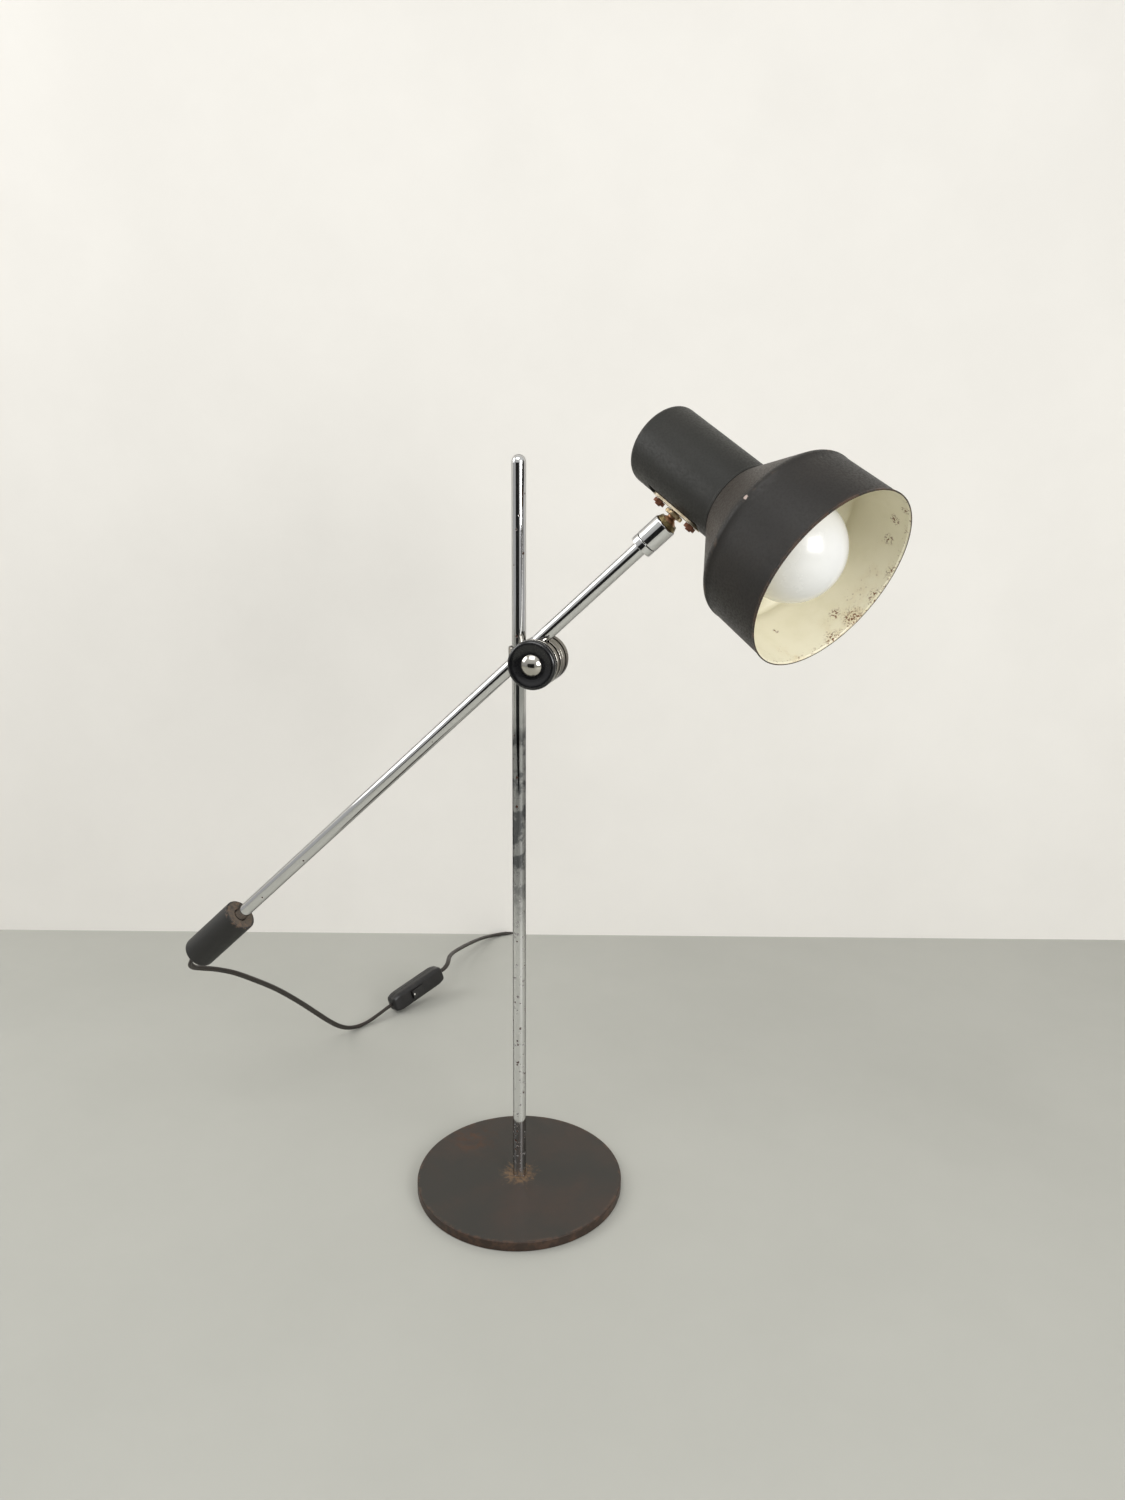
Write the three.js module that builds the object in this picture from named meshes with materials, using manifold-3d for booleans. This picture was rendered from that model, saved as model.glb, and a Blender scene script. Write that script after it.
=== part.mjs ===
// Counterbalanced work lamp. A chromed pole stands in a round steel base. A friction clamp on the pole
// holds a slanted arm with a counterweight at its low end and a ball swivel with a bell shade at its top.
// Lengths are in millimetres and angles in degrees. The origin is under the middle of the base, +Z is up,
// the arm lies in a plane along X, and the clamp's knob faces -Y.
import * as THREE from 'three';
import { mergeVertices } from 'three/addons/utils/BufferGeometryUtils.js';
import Module from 'manifold-3d';

const wasm = await Module();
wasm.setup();

// Clearances
const seatGap = 0.1;
const gap = 0.3;
const overrun = 2;

// Base
const baseRadius = 82.5;
const baseHeight = 8;
const baseEdgeRound = 1.4;
const baseLowerChamfer = 0.5;
const baseFloor = 2.2;
const feltThickness = 1.5;
const feltInset = 2.5;
const recessRadius = 11;

// Pole
const poleRadius = 5;
const poleTop = 574;
const poleWall = 1;
const poleCapLength = 5;
const poleCapPlug = 8;
const polePlugDepth = 12;
const poleStudRadius = 4;
const poleNutAcross = 13;
const poleNutThickness = 2.6;
const poleWasherRadius = 9;
const poleWasherThickness = 0.6;

// Clamp on the pole
const clampHeight = 433.2;
const boltOffset = 17.6;
const earRadius = 17.25;
const earFront = 6.6;
const earBack = 7.5;
const earSlot = 3;
const clampLoopRadius = 7.5;
const clampLoopHalf = 8;
const discChamfer = 0.6;
const boltRadius = 3;
const boltHeadAcross = 10;
const boltHeadThickness = 4;
const boltEndInset = 0.6;

// Jaws that hold the arm
const armDepth = 14.5;
const armOffset = 10.06;
const jawGap = 4;
const frontJawThickness = 5;

// Knob
const knobRadius = 17.5;
const knobDepth = 7.4;
const knobHubRadius = 9.2;
const knobDishDepth = 1.5;
const knobDishRadius = 8;
const insertRadius = 5;
const insertLength = 5.4;
const domeRadius = 7.5;
const domeRise = 3.2;
const domeRim = 0.6;

// Arm
const armElevation = 43.236;
const armRadius = 5;
const armWall = 0.9;
const armRear = 384.5;
const flexRadius = 2.5;

// Counterweight on the rear end of the arm tube
const weightLength = 58.65;
const weightRadius = 13.25;
const weightRound = 4.2;
const weightFaceChamfer = 0.5;
const weightNeckLength = 5.7;
const weightNeckGap = 1.5;
const weightEnd = armRear + weightNeckGap + weightNeckLength;
const weightFace = weightEnd - weightLength;
const grommetRadius = 4.5;
const grommetFlangeRadius = 6.3;
const grommetFlange = 1.4;

// Ball swivel at the top of the arm
const swivelDistance = 130.6;
const sleeveRadius = 8.4;
const sleeveLength = 17.2;
const sleeveChamfer = 0.8;
const collarLength = 5;
const collarRadius = 8.3;
const sleeveSocketDepth = 11.1;
const sleeveChannelRadius = 3.4;
const ballRadius = 6;
const lipHeight = 3.2;
const lipFootRadius = 7.9;
const lipTopRadius = 6.7;
const lipRings = 3;
const lipRingDepth = 0.35;
const studRadius = 3;
const studBore = 2;
const studEnd = 17.9;
const lockNutStart = 6.4;
const lockNutAcross = 13.4;
const lockNutThickness = 3.3;
const lockNutRound = 1.6;

// Pose of the swivel in the photograph
const sleeveTurn = 130.45;
const studTilt = 12.2;
const headTurn = -160.97;

// Bracket on the neck of the shade
const bracketStart = 10;
const bracketThickness = 2;
const bracketWidth = 15;
const bracketScrewSpacing = 32;
const bracketTip = 6.5;
const bracketLength = bracketScrewSpacing + 2 * bracketTip;
const screwRadius = 2;
const screwHeadRadius = 3.5;
const screwHeadThickness = 2.2;
const screwNutAcross = 7.2;
const screwNutThickness = 2.8;
const screwTail = 1;
const studNutAcross = 10;
const studNutThickness = 2.4;

// Neck cover and shade, measured along the shade's axis from the foot of the stud
const sheet = 0.8;
const neckAxisDistance = 38.92;
const neckRadius = 28.46;
const neckBack = 46;
const neckBackRound = 4.5;
const neckMouth = 35.8;
const neckBeadRise = 0.8;
const neckBeadLength = 1.6;
const neckFlatMargin = 2.5;
const neckFlatLength = bracketLength + 2 * neckFlatMargin;
const shadeCollarLength = 8;
const creaseDistance = 73.07;
const creaseRadius = 60.9;
const creaseRound = 3;
const bandTopRadius = 60.3;
const rimDistance = 120.4;
const rimRadius = 61.4;
const rimHem = 0.5;
const rimHemLength = 1.6;

// Lampholder
const strapThickness = 1.5;
const strapWidth = 14;
const strapBack = 27.5;
const strapTip = 5;
const strapFront = bracketScrewSpacing / 2 + strapTip;
const strapTail = 9;
const nippleRadius = 4.8;
const nippleBore = 3.4;
const nippleBack = 33;
const nippleLength = 12;
const nippleNutAcross = 14;
const nippleNutThickness = 2.6;
const holderRadius = 17;
const holderBack = 25.6;
const holderSplit = 10;
const holderFront = 17;
const holderShoulder = 9;
const holderCapRadius = 11;
const holderFloor = 1.8;
const shellWall = 0.5;
const holderContactRadius = 4;
const holderContactThickness = 0.8;
const wireRadius = 1.3;

// Bulb
const bulbRadius = 33.9;
const bulbCentre = 83.5;
const bulbTangentAngle = 36;
const bulbNeckRadius = 16.2;
const bulbNeckEnd = 30;
const bulbFoot = 17.6;
const bulbFootRadius = 14.2;
const bulbShoulderPull = 15;
const bulbNeckPull = 13;
const bulbGlassWall = 0.9;
const bulbCapRadius = 13;
const bulbCapBack = 6;
const bulbThreads = 4;
const bulbThreadDepth = 0.7;
const bulbInsulatorLength = 1.6;
const bulbContactRadius = 4.4;
const bulbContactThickness = 0.9;

// Lead and its switch
const leadRadius = 2.5;
const switchLength = 68.6;
const switchWidth = 19;
const switchThickness = 16;
const switchEdge = 2.2;
const switchTaper = 12;
const switchEndWidth = 9;
const switchCentre = [-199.95, 261.95, 17.6];
const switchHeading = 61.2;
const switchPitch = 13.18;
const switchRoll = 80;
const rockerLength = 15;
const rockerWidth = 8.6;
const rockerProud = 1.6;
const rockerDepth = 4.4;
const rockerShift = -4;
const rockerRest = 6;
const rockerPocketDepth = 6.6;
const rockerPinRadius = 0.8;
const switchScrewRadius = 1.2;
const switchScrewHead = 2.6;
const switchScrewHeadThickness = 1.4;
const switchScrewLength = 9;
const switchScrewSpacing = 40;

// Coil of the lead
const coilCentre = [-134.6, 512.6];
const coilHeading = 15.25;
const coilOuterRadius = 35.75;
const coilPitch = 5.5;
const coilTurnsEachLayer = 3;
const coilFirstHeight = 2.6;
const coilLead = 42;

// Plug at the end of the lead
const plugReliefLength = 20;
const plugReliefRadius = 4.6;
const plugReliefTip = 3.3;
const plugLength = 35;
const plugWidth = 26;
const plugThickness = 13.7;
const plugWaist = 15;
const plugEdge = 1.6;
const plugPinRadius = 2;
const plugPinLength = 19;
const plugPinSpacing = 18.6;

// Facets round a full turn
const largeTurn = 44;
const mediumTurn = 32;
const smallTurn = 20;
const tinyTurn = 12;
const arcSteps = 3;

// Points that the lead follows from the counterweight to the switch
const hangingRoute = [
  [-276.1, -14.5, 170.8], [-279.8, -14.5, 167.4], [-284, -12, 161], [-286, -5, 154.5], [-285, 5, 149],
  [-280.5, 17, 143], [-273.5, 32, 134], [-266, 53, 118], [-259.5, 79, 97], [-254, 110, 69],
  [-250, 136, 44], [-247, 155, 26], [-244.5, 170, 13.5], [-241, 182, 6], [-236, 192.5, 2.8],
  [-230, 203, 3.2], [-224, 216, 5.6], [-218.7, 227.6, 8.5], [-216.3, 232.2, 9.6],
];

// Points that it follows from the switch to the coil
const floorRoute = [
  [-183.6, 291.7, 25.6], [-181.3, 296, 26.7], [-180.6, 304, 27.8], [-182.4, 313, 27.6], [-185.6, 323, 26.2],
  [-188.4, 335, 24.2], [-189.6, 350, 21.6], [-188.4, 373, 17.6], [-185.2, 402, 12.2], [-181.2, 427, 7.4],
  [-176.2, 442, 4.4], [-169.5, 452, 3], [-161, 459.5, 2.6], [-151, 466.5, 2.6], [-142.5, 472.2, 2.6],
  [-136.4, 475.1, 2.6], [-130.5, 476.7, 2.6],
];

// Finishes
const finish = (color, roughness, metalness) =>
  new THREE.MeshStandardMaterial({ color, roughness, metalness });
const paintedSteel = finish(0x33302d, 0.72, 0.2);
const baseSteel = finish(0x3b3836, 0.6, 0.4);
const chrome = finish(0xb8b8b6, 0.22, 1);
const nickel = finish(0xa89f90, 0.4, 0.9);
const rustySteel = finish(0x6b4a35, 0.7, 0.6);
const brass = finish(0x8a6a3c, 0.45, 0.9);
const bakelite = finish(0x121212, 0.25, 0);
const blackPaint = finish(0x232221, 0.6, 0.1);
const opalGlass = finish(0xf2f0ea, 0.12, 0);
const felt = finish(0x2d3a30, 0.95, 0);
const rubber = finish(0x1c1a19, 0.7, 0);
const switchPlastic = finish(0x141414, 0.4, 0);

// Geometry helpers

// A closed mesh with shared corners, no flat triangles, and its faces pointing out.
function closed(geometry) {
  const bare = geometry.clone();
  bare.deleteAttribute('normal');
  bare.deleteAttribute('uv');
  const merged = mergeVertices(bare);
  const place = merged.getAttribute('position');
  const kept = [];
  let volume = 0;
  const corner = [new THREE.Vector3(), new THREE.Vector3(), new THREE.Vector3()];
  for (let i = 0; i < merged.index.count; i += 3) {
    const [a, b, c] = [0, 1, 2].map((k) => merged.index.getX(i + k));
    if (a !== b && b !== c && a !== c) {
      [a, b, c].forEach((vertex, k) => corner[k].fromBufferAttribute(place, vertex));
      volume += corner[0].dot(corner[1].clone().cross(corner[2]));
      kept.push([a, b, c]);
    }
  }
  merged.setIndex((volume < 0 ? kept.map(([a, b, c]) => [a, c, b]) : kept).flat());
  return merged;
}

function toSolid(geometry) {
  const mesh = closed(geometry);
  return new wasm.Manifold(new wasm.Mesh({
    numProp: 3,
    vertProperties: new Float32Array(mesh.getAttribute('position').array),
    triVerts: new Uint32Array(mesh.index.array),
  }));
}

function fromSolid(solid) {
  const mesh = solid.getMesh();
  const geometry = new THREE.BufferGeometry();
  geometry.setAttribute('position', new THREE.Float32BufferAttribute(mesh.vertProperties, 3));
  geometry.setIndex([...mesh.triVerts]);
  return geometry;
}

const cut = (body, ...tools) =>
  fromSolid(tools.reduce((rest, tool) => rest.subtract(toSolid(tool)), toSolid(body)));
const join = (body, ...others) =>
  fromSolid(others.reduce((sum, other) => sum.add(toSolid(other)), toSolid(body)));
const common = (body, other) => fromSolid(toSolid(body).intersect(toSolid(other)));

// A solid of revolution about Z from corners [radius, height].
function revolve(profile, turn = smallTurn) {
  const onAxis = profile[0][0] === 0 && profile.at(-1)[0] === 0;
  const corners = onAxis ? profile : [...profile, profile[0]];
  const lathe = new THREE.LatheGeometry(corners.map(([r, z]) => new THREE.Vector2(r, z)), turn);
  return closed(lathe.rotateX(Math.PI / 2));
}

const rod = (radius, from, to, turn = smallTurn) =>
  revolve([[0, from], [radius, from], [radius, to], [0, to]], turn);
const ring = (inner, outer, from, to, turn = smallTurn) =>
  revolve([[inner, from], [outer, from], [outer, to], [inner, to]], turn);

// A ring whose two outer edges are chamfered.
const chamferedRing = (inner, outer, from, to, chamfer, turn = smallTurn) => revolve([
  [inner, from], [outer - chamfer, from], [outer, from + chamfer],
  [outer, to - chamfer], [outer - chamfer, to], [inner, to],
], turn);

const block = (x, y, z) => new THREE.BoxGeometry(x, y, z);

// Points [radius, height] on an arc, with its angles in degrees from the radial direction.
function arc(centreRadius, centreHeight, radius, from, to, steps = arcSteps) {
  return Array.from({ length: steps + 1 }, (_, i) => {
    const angle = THREE.MathUtils.degToRad(from + ((to - from) * i) / steps);
    return [centreRadius + radius * Math.cos(angle), centreHeight + radius * Math.sin(angle)];
  });
}

// Gives an outline of a sheet part its wall: every corner is moved inwards square to its two edges.
function walled(outline, wall) {
  const side = (a, b) => new THREE.Vector2(b[1] - a[1], a[0] - b[0]).normalize();
  const inner = outline.map((point, i) => {
    const end = outline.length - 1;
    const before = side(outline[Math.max(i - 1, 0)], outline[Math.max(i, 1)]);
    const after = side(outline[Math.min(i, end - 1)], outline[Math.min(i + 1, end)]);
    const shift = before.clone().add(after).multiplyScalar(wall / (1 + before.dot(after)));
    return [point[0] === 0 ? 0 : point[0] - shift.x, point[1] - shift.y];
  });
  return [...outline, ...inner.reverse()];
}

// A polygon with equal sides, measured across its flats.
function polygonShape(across, sides, hole = 0) {
  const radius = across / 2 / Math.cos(Math.PI / sides);
  const corners = Array.from({ length: sides }, (_, i) => {
    const angle = (2 * Math.PI * (i + 0.5)) / sides;
    return new THREE.Vector2(radius * Math.cos(angle), radius * Math.sin(angle));
  });
  const shape = new THREE.Shape(corners);
  if (hole > 0) shape.holes.push(new THREE.Path().absarc(0, 0, hole, 0, 2 * Math.PI));
  return shape;
}

function nut(across, hole, from, thickness) {
  const body = new THREE.ExtrudeGeometry(polygonShape(across, 6, hole), {
    depth: thickness, bevelEnabled: false, curveSegments: tinyTurn / 2,
  });
  return closed(body.translate(0, 0, from));
}

// A plate whose outline has straight sides and round ends, lying across Z.
function slotShape(length, width) {
  const shape = new THREE.Shape();
  const half = (length - width) / 2;
  shape.absarc(half, 0, width / 2, -Math.PI / 2, Math.PI / 2);
  shape.absarc(-half, 0, width / 2, Math.PI / 2, (3 * Math.PI) / 2);
  return shape;
}

// A round lead along hand-chosen points.
function lead(route, radius, sides, stepLength) {
  const places = route.map((point) => new THREE.Vector3(...point));
  const curve = new THREE.CatmullRomCurve3(places, false, 'centripetal');
  const section = new THREE.Shape(Array.from({ length: sides }, (_, i) => {
    const angle = (2 * Math.PI * i) / sides;
    return new THREE.Vector2(radius * Math.cos(angle), radius * Math.sin(angle));
  }));
  const steps = Math.ceil(curve.getLength() / stepLength);
  return closed(new THREE.ExtrudeGeometry(section, { steps, extrudePath: curve, bevelEnabled: false }));
}

// Turns a part made along Z so that it points to the front, -Y.
const toFront = (geometry) => geometry.rotateX(Math.PI / 2);

const radians = THREE.MathUtils.degToRad;

const lamp = new THREE.Group();

function frameIn(parent, { position = [0, 0, 0], rotation = [0, 0, 0], order = 'XYZ' } = {}) {
  const frame = new THREE.Group();
  frame.position.set(...position);
  frame.rotation.set(...rotation.map(radians), order);
  parent.add(frame);
  return frame;
}

function piece(parent, name, geometry, material) {
  const mesh = new THREE.Mesh(closed(geometry), material);
  mesh.name = name;
  parent.add(mesh);
}

// Base, felt and pole
function addBase() {
  const underside = feltThickness + seatGap;
  const recessTop = baseHeight - baseFloor;
  piece(lamp, 'base_felt', rod(baseRadius - feltInset, 0, feltThickness, mediumTurn), felt);
  piece(lamp, 'base_disc', revolve([
    [recessRadius, underside],
    [baseRadius - baseLowerChamfer, underside],
    [baseRadius, underside + baseLowerChamfer],
    ...arc(baseRadius - baseEdgeRound, baseHeight - baseEdgeRound, baseEdgeRound, 0, 90),
    [poleStudRadius + gap, baseHeight],
    [poleStudRadius + gap, recessTop],
    [recessRadius, recessTop],
  ], largeTurn), baseSteel);

  const shoulder = baseHeight + seatGap;
  const capFoot = poleTop - poleCapLength;
  const studFoot = underside + gap;
  piece(lamp, 'pole', revolve([
    [0, studFoot],
    [poleStudRadius, studFoot],
    [poleStudRadius, shoulder],
    [poleRadius, shoulder],
    [poleRadius, capFoot],
    [poleRadius - poleWall, capFoot],
    [poleRadius - poleWall, shoulder + polePlugDepth],
    [0, shoulder + polePlugDepth],
  ]), chrome);
  const capEdge = capFoot + seatGap;
  piece(lamp, 'pole_cap', revolve([
    [0, capFoot - poleCapPlug],
    [poleRadius - poleWall - gap, capFoot - poleCapPlug],
    [poleRadius - poleWall - gap, capEdge],
    [poleRadius, capEdge],
    ...arc(0, poleTop - poleRadius + seatGap, poleRadius - seatGap, 0, 90).slice(1, -1),
    [0, poleTop],
  ]), chrome);
  const washerTop = recessTop - gap;
  const washerFoot = washerTop - poleWasherThickness;
  piece(lamp, 'pole_washer', ring(poleStudRadius + gap, poleWasherRadius, washerFoot, washerTop), rustySteel);
  const nutFoot = washerFoot - seatGap - poleNutThickness;
  piece(lamp, 'pole_nut', nut(poleNutAcross, poleStudRadius + gap, nutFoot, poleNutThickness), rustySteel);
}

// Two round ears pinched round the pole, joined behind it by a loop
function addPoleClamp(frame) {
  const disc = chamferedRing(boltRadius + gap, earRadius, -earBack, earFront, discChamfer, mediumTurn);
  const ears = toFront(disc).translate(boltOffset, 0, 0);
  const inFront = block(2 * clampLoopRadius, clampLoopRadius, 4 * clampLoopHalf)
    .translate(0, -earFront - clampLoopRadius / 2, 0);
  const loop = cut(rod(clampLoopRadius, -clampLoopHalf, clampLoopHalf), inFront);
  const slotLength = boltOffset + earRadius + overrun;
  const slot = block(slotLength, earSlot, 2 * earRadius + overrun).translate(slotLength / 2, 0, 0);
  const bore = rod(poleRadius + gap, -earRadius - overrun, earRadius + overrun);
  piece(frame, 'pole_clamp', cut(join(ears, loop), slot, bore), chrome);
}

const rearJawBack = earFront + gap;
const rearJawFront = armDepth - jawGap / 2;
const frontJawBack = armDepth + jawGap / 2;
const frontJawFront = frontJawBack + frontJawThickness;
const knobBack = frontJawFront + gap;
const dishFloor = knobBack + knobDepth - knobDishDepth;

// Bolt through ears and jaws, with its head behind
function addClampBolt(frame) {
  const headFace = -earBack - gap;
  const shank = rod(boltRadius, headFace - boltHeadThickness / 2, knobBack + insertLength - boltEndInset);
  const head = nut(boltHeadAcross, 0, headFace - boltHeadThickness, boltHeadThickness);
  piece(frame, 'clamp_bolt', toFront(join(head, shank)), nickel);
}

function addKnob(frame) {
  // Shares of the knob's radius and of its depth, from the hub to the rim and into the dish
  const rimShares = [
    [0.885, 0.30], [0.965, 0.42], [0.995, 0.56], [1, 0.68], [0.985, 0.82], [0.945, 0.93], [0.89, 1],
  ];
  const dishShares = [[0.80, 0.975], [0.68, 0.88], [0.56, 0.81]];
  const place = ([r, t]) => [r * knobRadius, knobBack + t * knobDepth];
  const bore = insertRadius + gap;
  piece(frame, 'knob', toFront(revolve([
    [bore, knobBack],
    [knobHubRadius, knobBack],
    ...rimShares.map(place),
    ...dishShares.map(place),
    [knobDishRadius, dishFloor],
    [bore, dishFloor],
  ], mediumTurn)), bakelite);
  const insertFoot = knobBack + seatGap;
  piece(frame, 'knob_insert',
    toFront(ring(boltRadius + gap, insertRadius, insertFoot, insertFoot + insertLength)), brass);
  const domeFoot = dishFloor + gap;
  const sphere = (domeRadius ** 2 + domeRise ** 2) / (2 * domeRise);
  const domeTop = domeFoot + domeRim + domeRise;
  const reach = THREE.MathUtils.radToDeg(Math.asin(domeRadius / sphere));
  piece(frame, 'knob_dome', toFront(revolve([
    [0, domeFoot],
    [domeRadius, domeFoot],
    ...arc(0, domeTop - sphere, sphere, 90 - reach, 90).slice(0, -1),
    [0, domeTop],
  ])), chrome);
}

// Two discs with a groove each, which pinch the arm
function addJaws(frame) {
  const groove = () => rod(armRadius + gap, -earRadius - overrun, earRadius + overrun)
    .translate(-armOffset, -armDepth, 0);
  const jaw = (from, to) =>
    cut(toFront(chamferedRing(boltRadius + gap, earRadius, from, to, discChamfer, mediumTurn)), groove());
  piece(frame, 'jaw_rear', jaw(rearJawBack, rearJawFront), chrome);
  piece(frame, 'jaw_front', jaw(frontJawBack, frontJawFront), chrome);
}

const sleeveFoot = swivelDistance - sleeveLength;
const collarFoot = sleeveFoot - gap - collarLength;
const armFront = sleeveFoot + sleeveLength - sleeveSocketDepth - gap;
const grommetEnd = -weightEnd - gap - grommetFlange;

// Arm tube with the flex in it, the collar below the swivel, and the counterweight
function addArm(frame) {
  piece(frame, 'arm_tube', ring(armRadius - armWall, armRadius, -armRear, armFront), chrome);
  piece(frame, 'arm_flex', rod(flexRadius, grommetEnd, armFront + gap + 2 * flexRadius, tinyTurn), rubber);
  piece(frame, 'ferrule_collar',
    chamferedRing(armRadius + gap, collarRadius, collarFoot, sleeveFoot - gap, sleeveChamfer / 2), chrome);
  const neckFoot = -weightEnd + weightNeckLength;
  piece(frame, 'counterweight', revolve([
    [grommetRadius + gap, -weightEnd],
    [weightRadius - weightRound, -weightEnd],
    ...arc(weightRadius - weightRound, -weightEnd + weightRound, weightRound, -90, 0).slice(1),
    [weightRadius, -weightFace - weightFaceChamfer],
    [weightRadius - weightFaceChamfer, -weightFace],
    [armRadius + gap, -weightFace],
    [armRadius + gap, neckFoot],
    [grommetRadius + gap, neckFoot],
  ], mediumTurn), blackPaint);
  const flangeFace = -weightEnd - gap;
  piece(frame, 'cord_grommet', revolve([
    [flexRadius + gap, grommetEnd],
    [grommetFlangeRadius - grommetFlange / 2, grommetEnd],
    [grommetFlangeRadius, grommetEnd + grommetFlange / 2],
    [grommetFlangeRadius, flangeFace],
    [grommetRadius, flangeFace],
    [grommetRadius, neckFoot - gap],
    [flexRadius + gap, neckFoot - gap],
  ]), rubber);
}

// Sleeve with the ball's seat, and the ringed brass lip that keeps the ball in it
function addSleeve(frame) {
  const seat = ballRadius + gap;
  const channelEdge = THREE.MathUtils.radToDeg(Math.acos(sleeveChannelRadius / seat));
  const shoulder = -sleeveSocketDepth;
  piece(frame, 'swivel_sleeve', revolve([
    [armRadius + gap, -sleeveLength],
    [sleeveRadius - sleeveChamfer, -sleeveLength],
    [sleeveRadius, -sleeveLength + sleeveChamfer],
    [sleeveRadius, -sleeveChamfer],
    [sleeveRadius - sleeveChamfer / 2, 0],
    ...arc(0, 0, seat, 0, -channelEdge),
    [sleeveChannelRadius, shoulder],
    [armRadius + gap, shoulder],
  ], smallTurn), chrome);
  const foot = gap;
  const step = (lipHeight - foot) / (2 * lipRings);
  const rings = Array.from({ length: 2 * lipRings }, (_, i) => {
    const taper = lipFootRadius + ((lipTopRadius - lipFootRadius) * i) / (2 * lipRings);
    const radius = i % 2 === 0 ? taper : taper - lipRingDepth;
    return [[radius, foot + i * step], [radius, foot + (i + 1) * step]];
  }).flat();
  const angle = (height) => THREE.MathUtils.radToDeg(Math.asin(height / seat));
  piece(frame, 'swivel_lip', revolve([
    ...rings,
    ...arc(0, 0, seat, angle(lipHeight), angle(foot)),
  ], smallTurn), brass);
}

// Hollow ball stud and the lobed nut that locks it to the bracket
function addBallStud(frame) {
  const angle = (radius) => THREE.MathUtils.radToDeg(Math.acos(radius / ballRadius));
  piece(frame, 'ball_stud', revolve([
    ...arc(0, 0, ballRadius, -angle(studBore), angle(studRadius), 2 * arcSteps),
    [studRadius, studEnd],
    [studBore, studEnd],
  ]), rustySteel);
  const body = new THREE.ExtrudeGeometry(polygonShape(lockNutAcross - 2 * lockNutRound, 6), {
    depth: lockNutThickness - lockNutRound,
    bevelSize: lockNutRound,
    bevelThickness: lockNutRound / 2,
    bevelSegments: 2,
  }).translate(0, 0, lockNutStart + lockNutRound / 2);
  piece(frame, 'lock_nut', cut(body, rod(studRadius + gap, 0, bracketStart)), rustySteel);
}

const bracketEnd = bracketStart + bracketThickness;
const flatHeight = neckAxisDistance - bracketEnd - gap;
const innerFlat = flatHeight - sheet;
const strapOuter = innerFlat - gap;
const strapInner = strapOuter - strapThickness;
const wireRow = holderRadius + gap + wireRadius;
const screwPlaces = [-bracketScrewSpacing / 2, bracketScrewSpacing / 2];

// Bracket plate with its two screws and nuts, and the stud's nut inside the neck
function addBracket(frame) {
  const plate = new THREE.ExtrudeGeometry(slotShape(bracketLength, bracketWidth), {
    depth: bracketThickness, bevelEnabled: false, curveSegments: tinyTurn / 2,
  }).translate(0, 0, bracketStart);
  const through = (radius, x) => rod(radius + gap, 0, neckAxisDistance, tinyTurn).translate(x, 0, 0);
  piece(frame, 'bracket_plate',
    cut(plate, through(studRadius, 0), ...screwPlaces.map((x) => through(screwRadius, x))), nickel);
  const headFoot = neckAxisDistance - strapInner + gap;
  const tail = bracketStart - gap - screwNutThickness - screwTail;
  screwPlaces.forEach((x, i) => {
    const screw = revolve([
      [0, tail],
      [screwRadius, tail],
      [screwRadius, headFoot],
      [screwHeadRadius, headFoot],
      [screwHeadRadius, headFoot + screwHeadThickness / 2],
      [screwHeadRadius / 2, headFoot + screwHeadThickness],
      [0, headFoot + screwHeadThickness],
    ], tinyTurn);
    piece(frame, `bracket_screw_${i + 1}`, screw.translate(x, 0, 0), rustySteel);
    const hex = nut(screwNutAcross, screwRadius + gap, tail + screwTail, screwNutThickness);
    piece(frame, `bracket_nut_${i + 1}`, hex.translate(x, 0, 0), rustySteel);
  });
  piece(frame, 'stud_nut', nut(studNutAcross, studRadius + gap, headFoot, studNutThickness), nickel);
}

// Neck cover: a deep cup with a pressed flat for the bracket
function addNeck(frame) {
  const outline = [
    [0, -neckBack],
    ...arc(neckRadius - neckBackRound, -neckBack + neckBackRound, neckBackRound, -90, 0),
    [neckRadius, neckMouth - 2 * neckBeadLength],
    [neckRadius + neckBeadRise, neckMouth - neckBeadLength],
    [neckRadius + neckBeadRise, neckMouth],
  ];
  const filled = [...outline, [0, neckMouth]];
  const hollow = walled(outline, sheet).slice(outline.length);
  const inner = [[0, neckMouth + overrun], [hollow[0][0], neckMouth + overrun], ...hollow.slice(1)].reverse();
  const flatBlock = (height, length) => block(neckRadius, 2 * neckRadius, length)
    .translate(height + neckRadius / 2, 0, 0);
  const outside = cut(revolve(filled, mediumTurn), flatBlock(flatHeight, neckFlatLength));
  const inside = cut(revolve(inner, mediumTurn), flatBlock(innerFlat, neckFlatLength + 2 * sheet));
  const hole = (radius, z) => rod(radius + gap, 0, neckRadius + overrun, tinyTurn)
    .rotateY(Math.PI / 2).translate(0, 0, z);
  piece(frame, 'neck_cover',
    cut(outside, inside, hole(studRadius, 0), ...screwPlaces.map((z) => hole(screwRadius, z))), paintedSteel);
}

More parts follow.
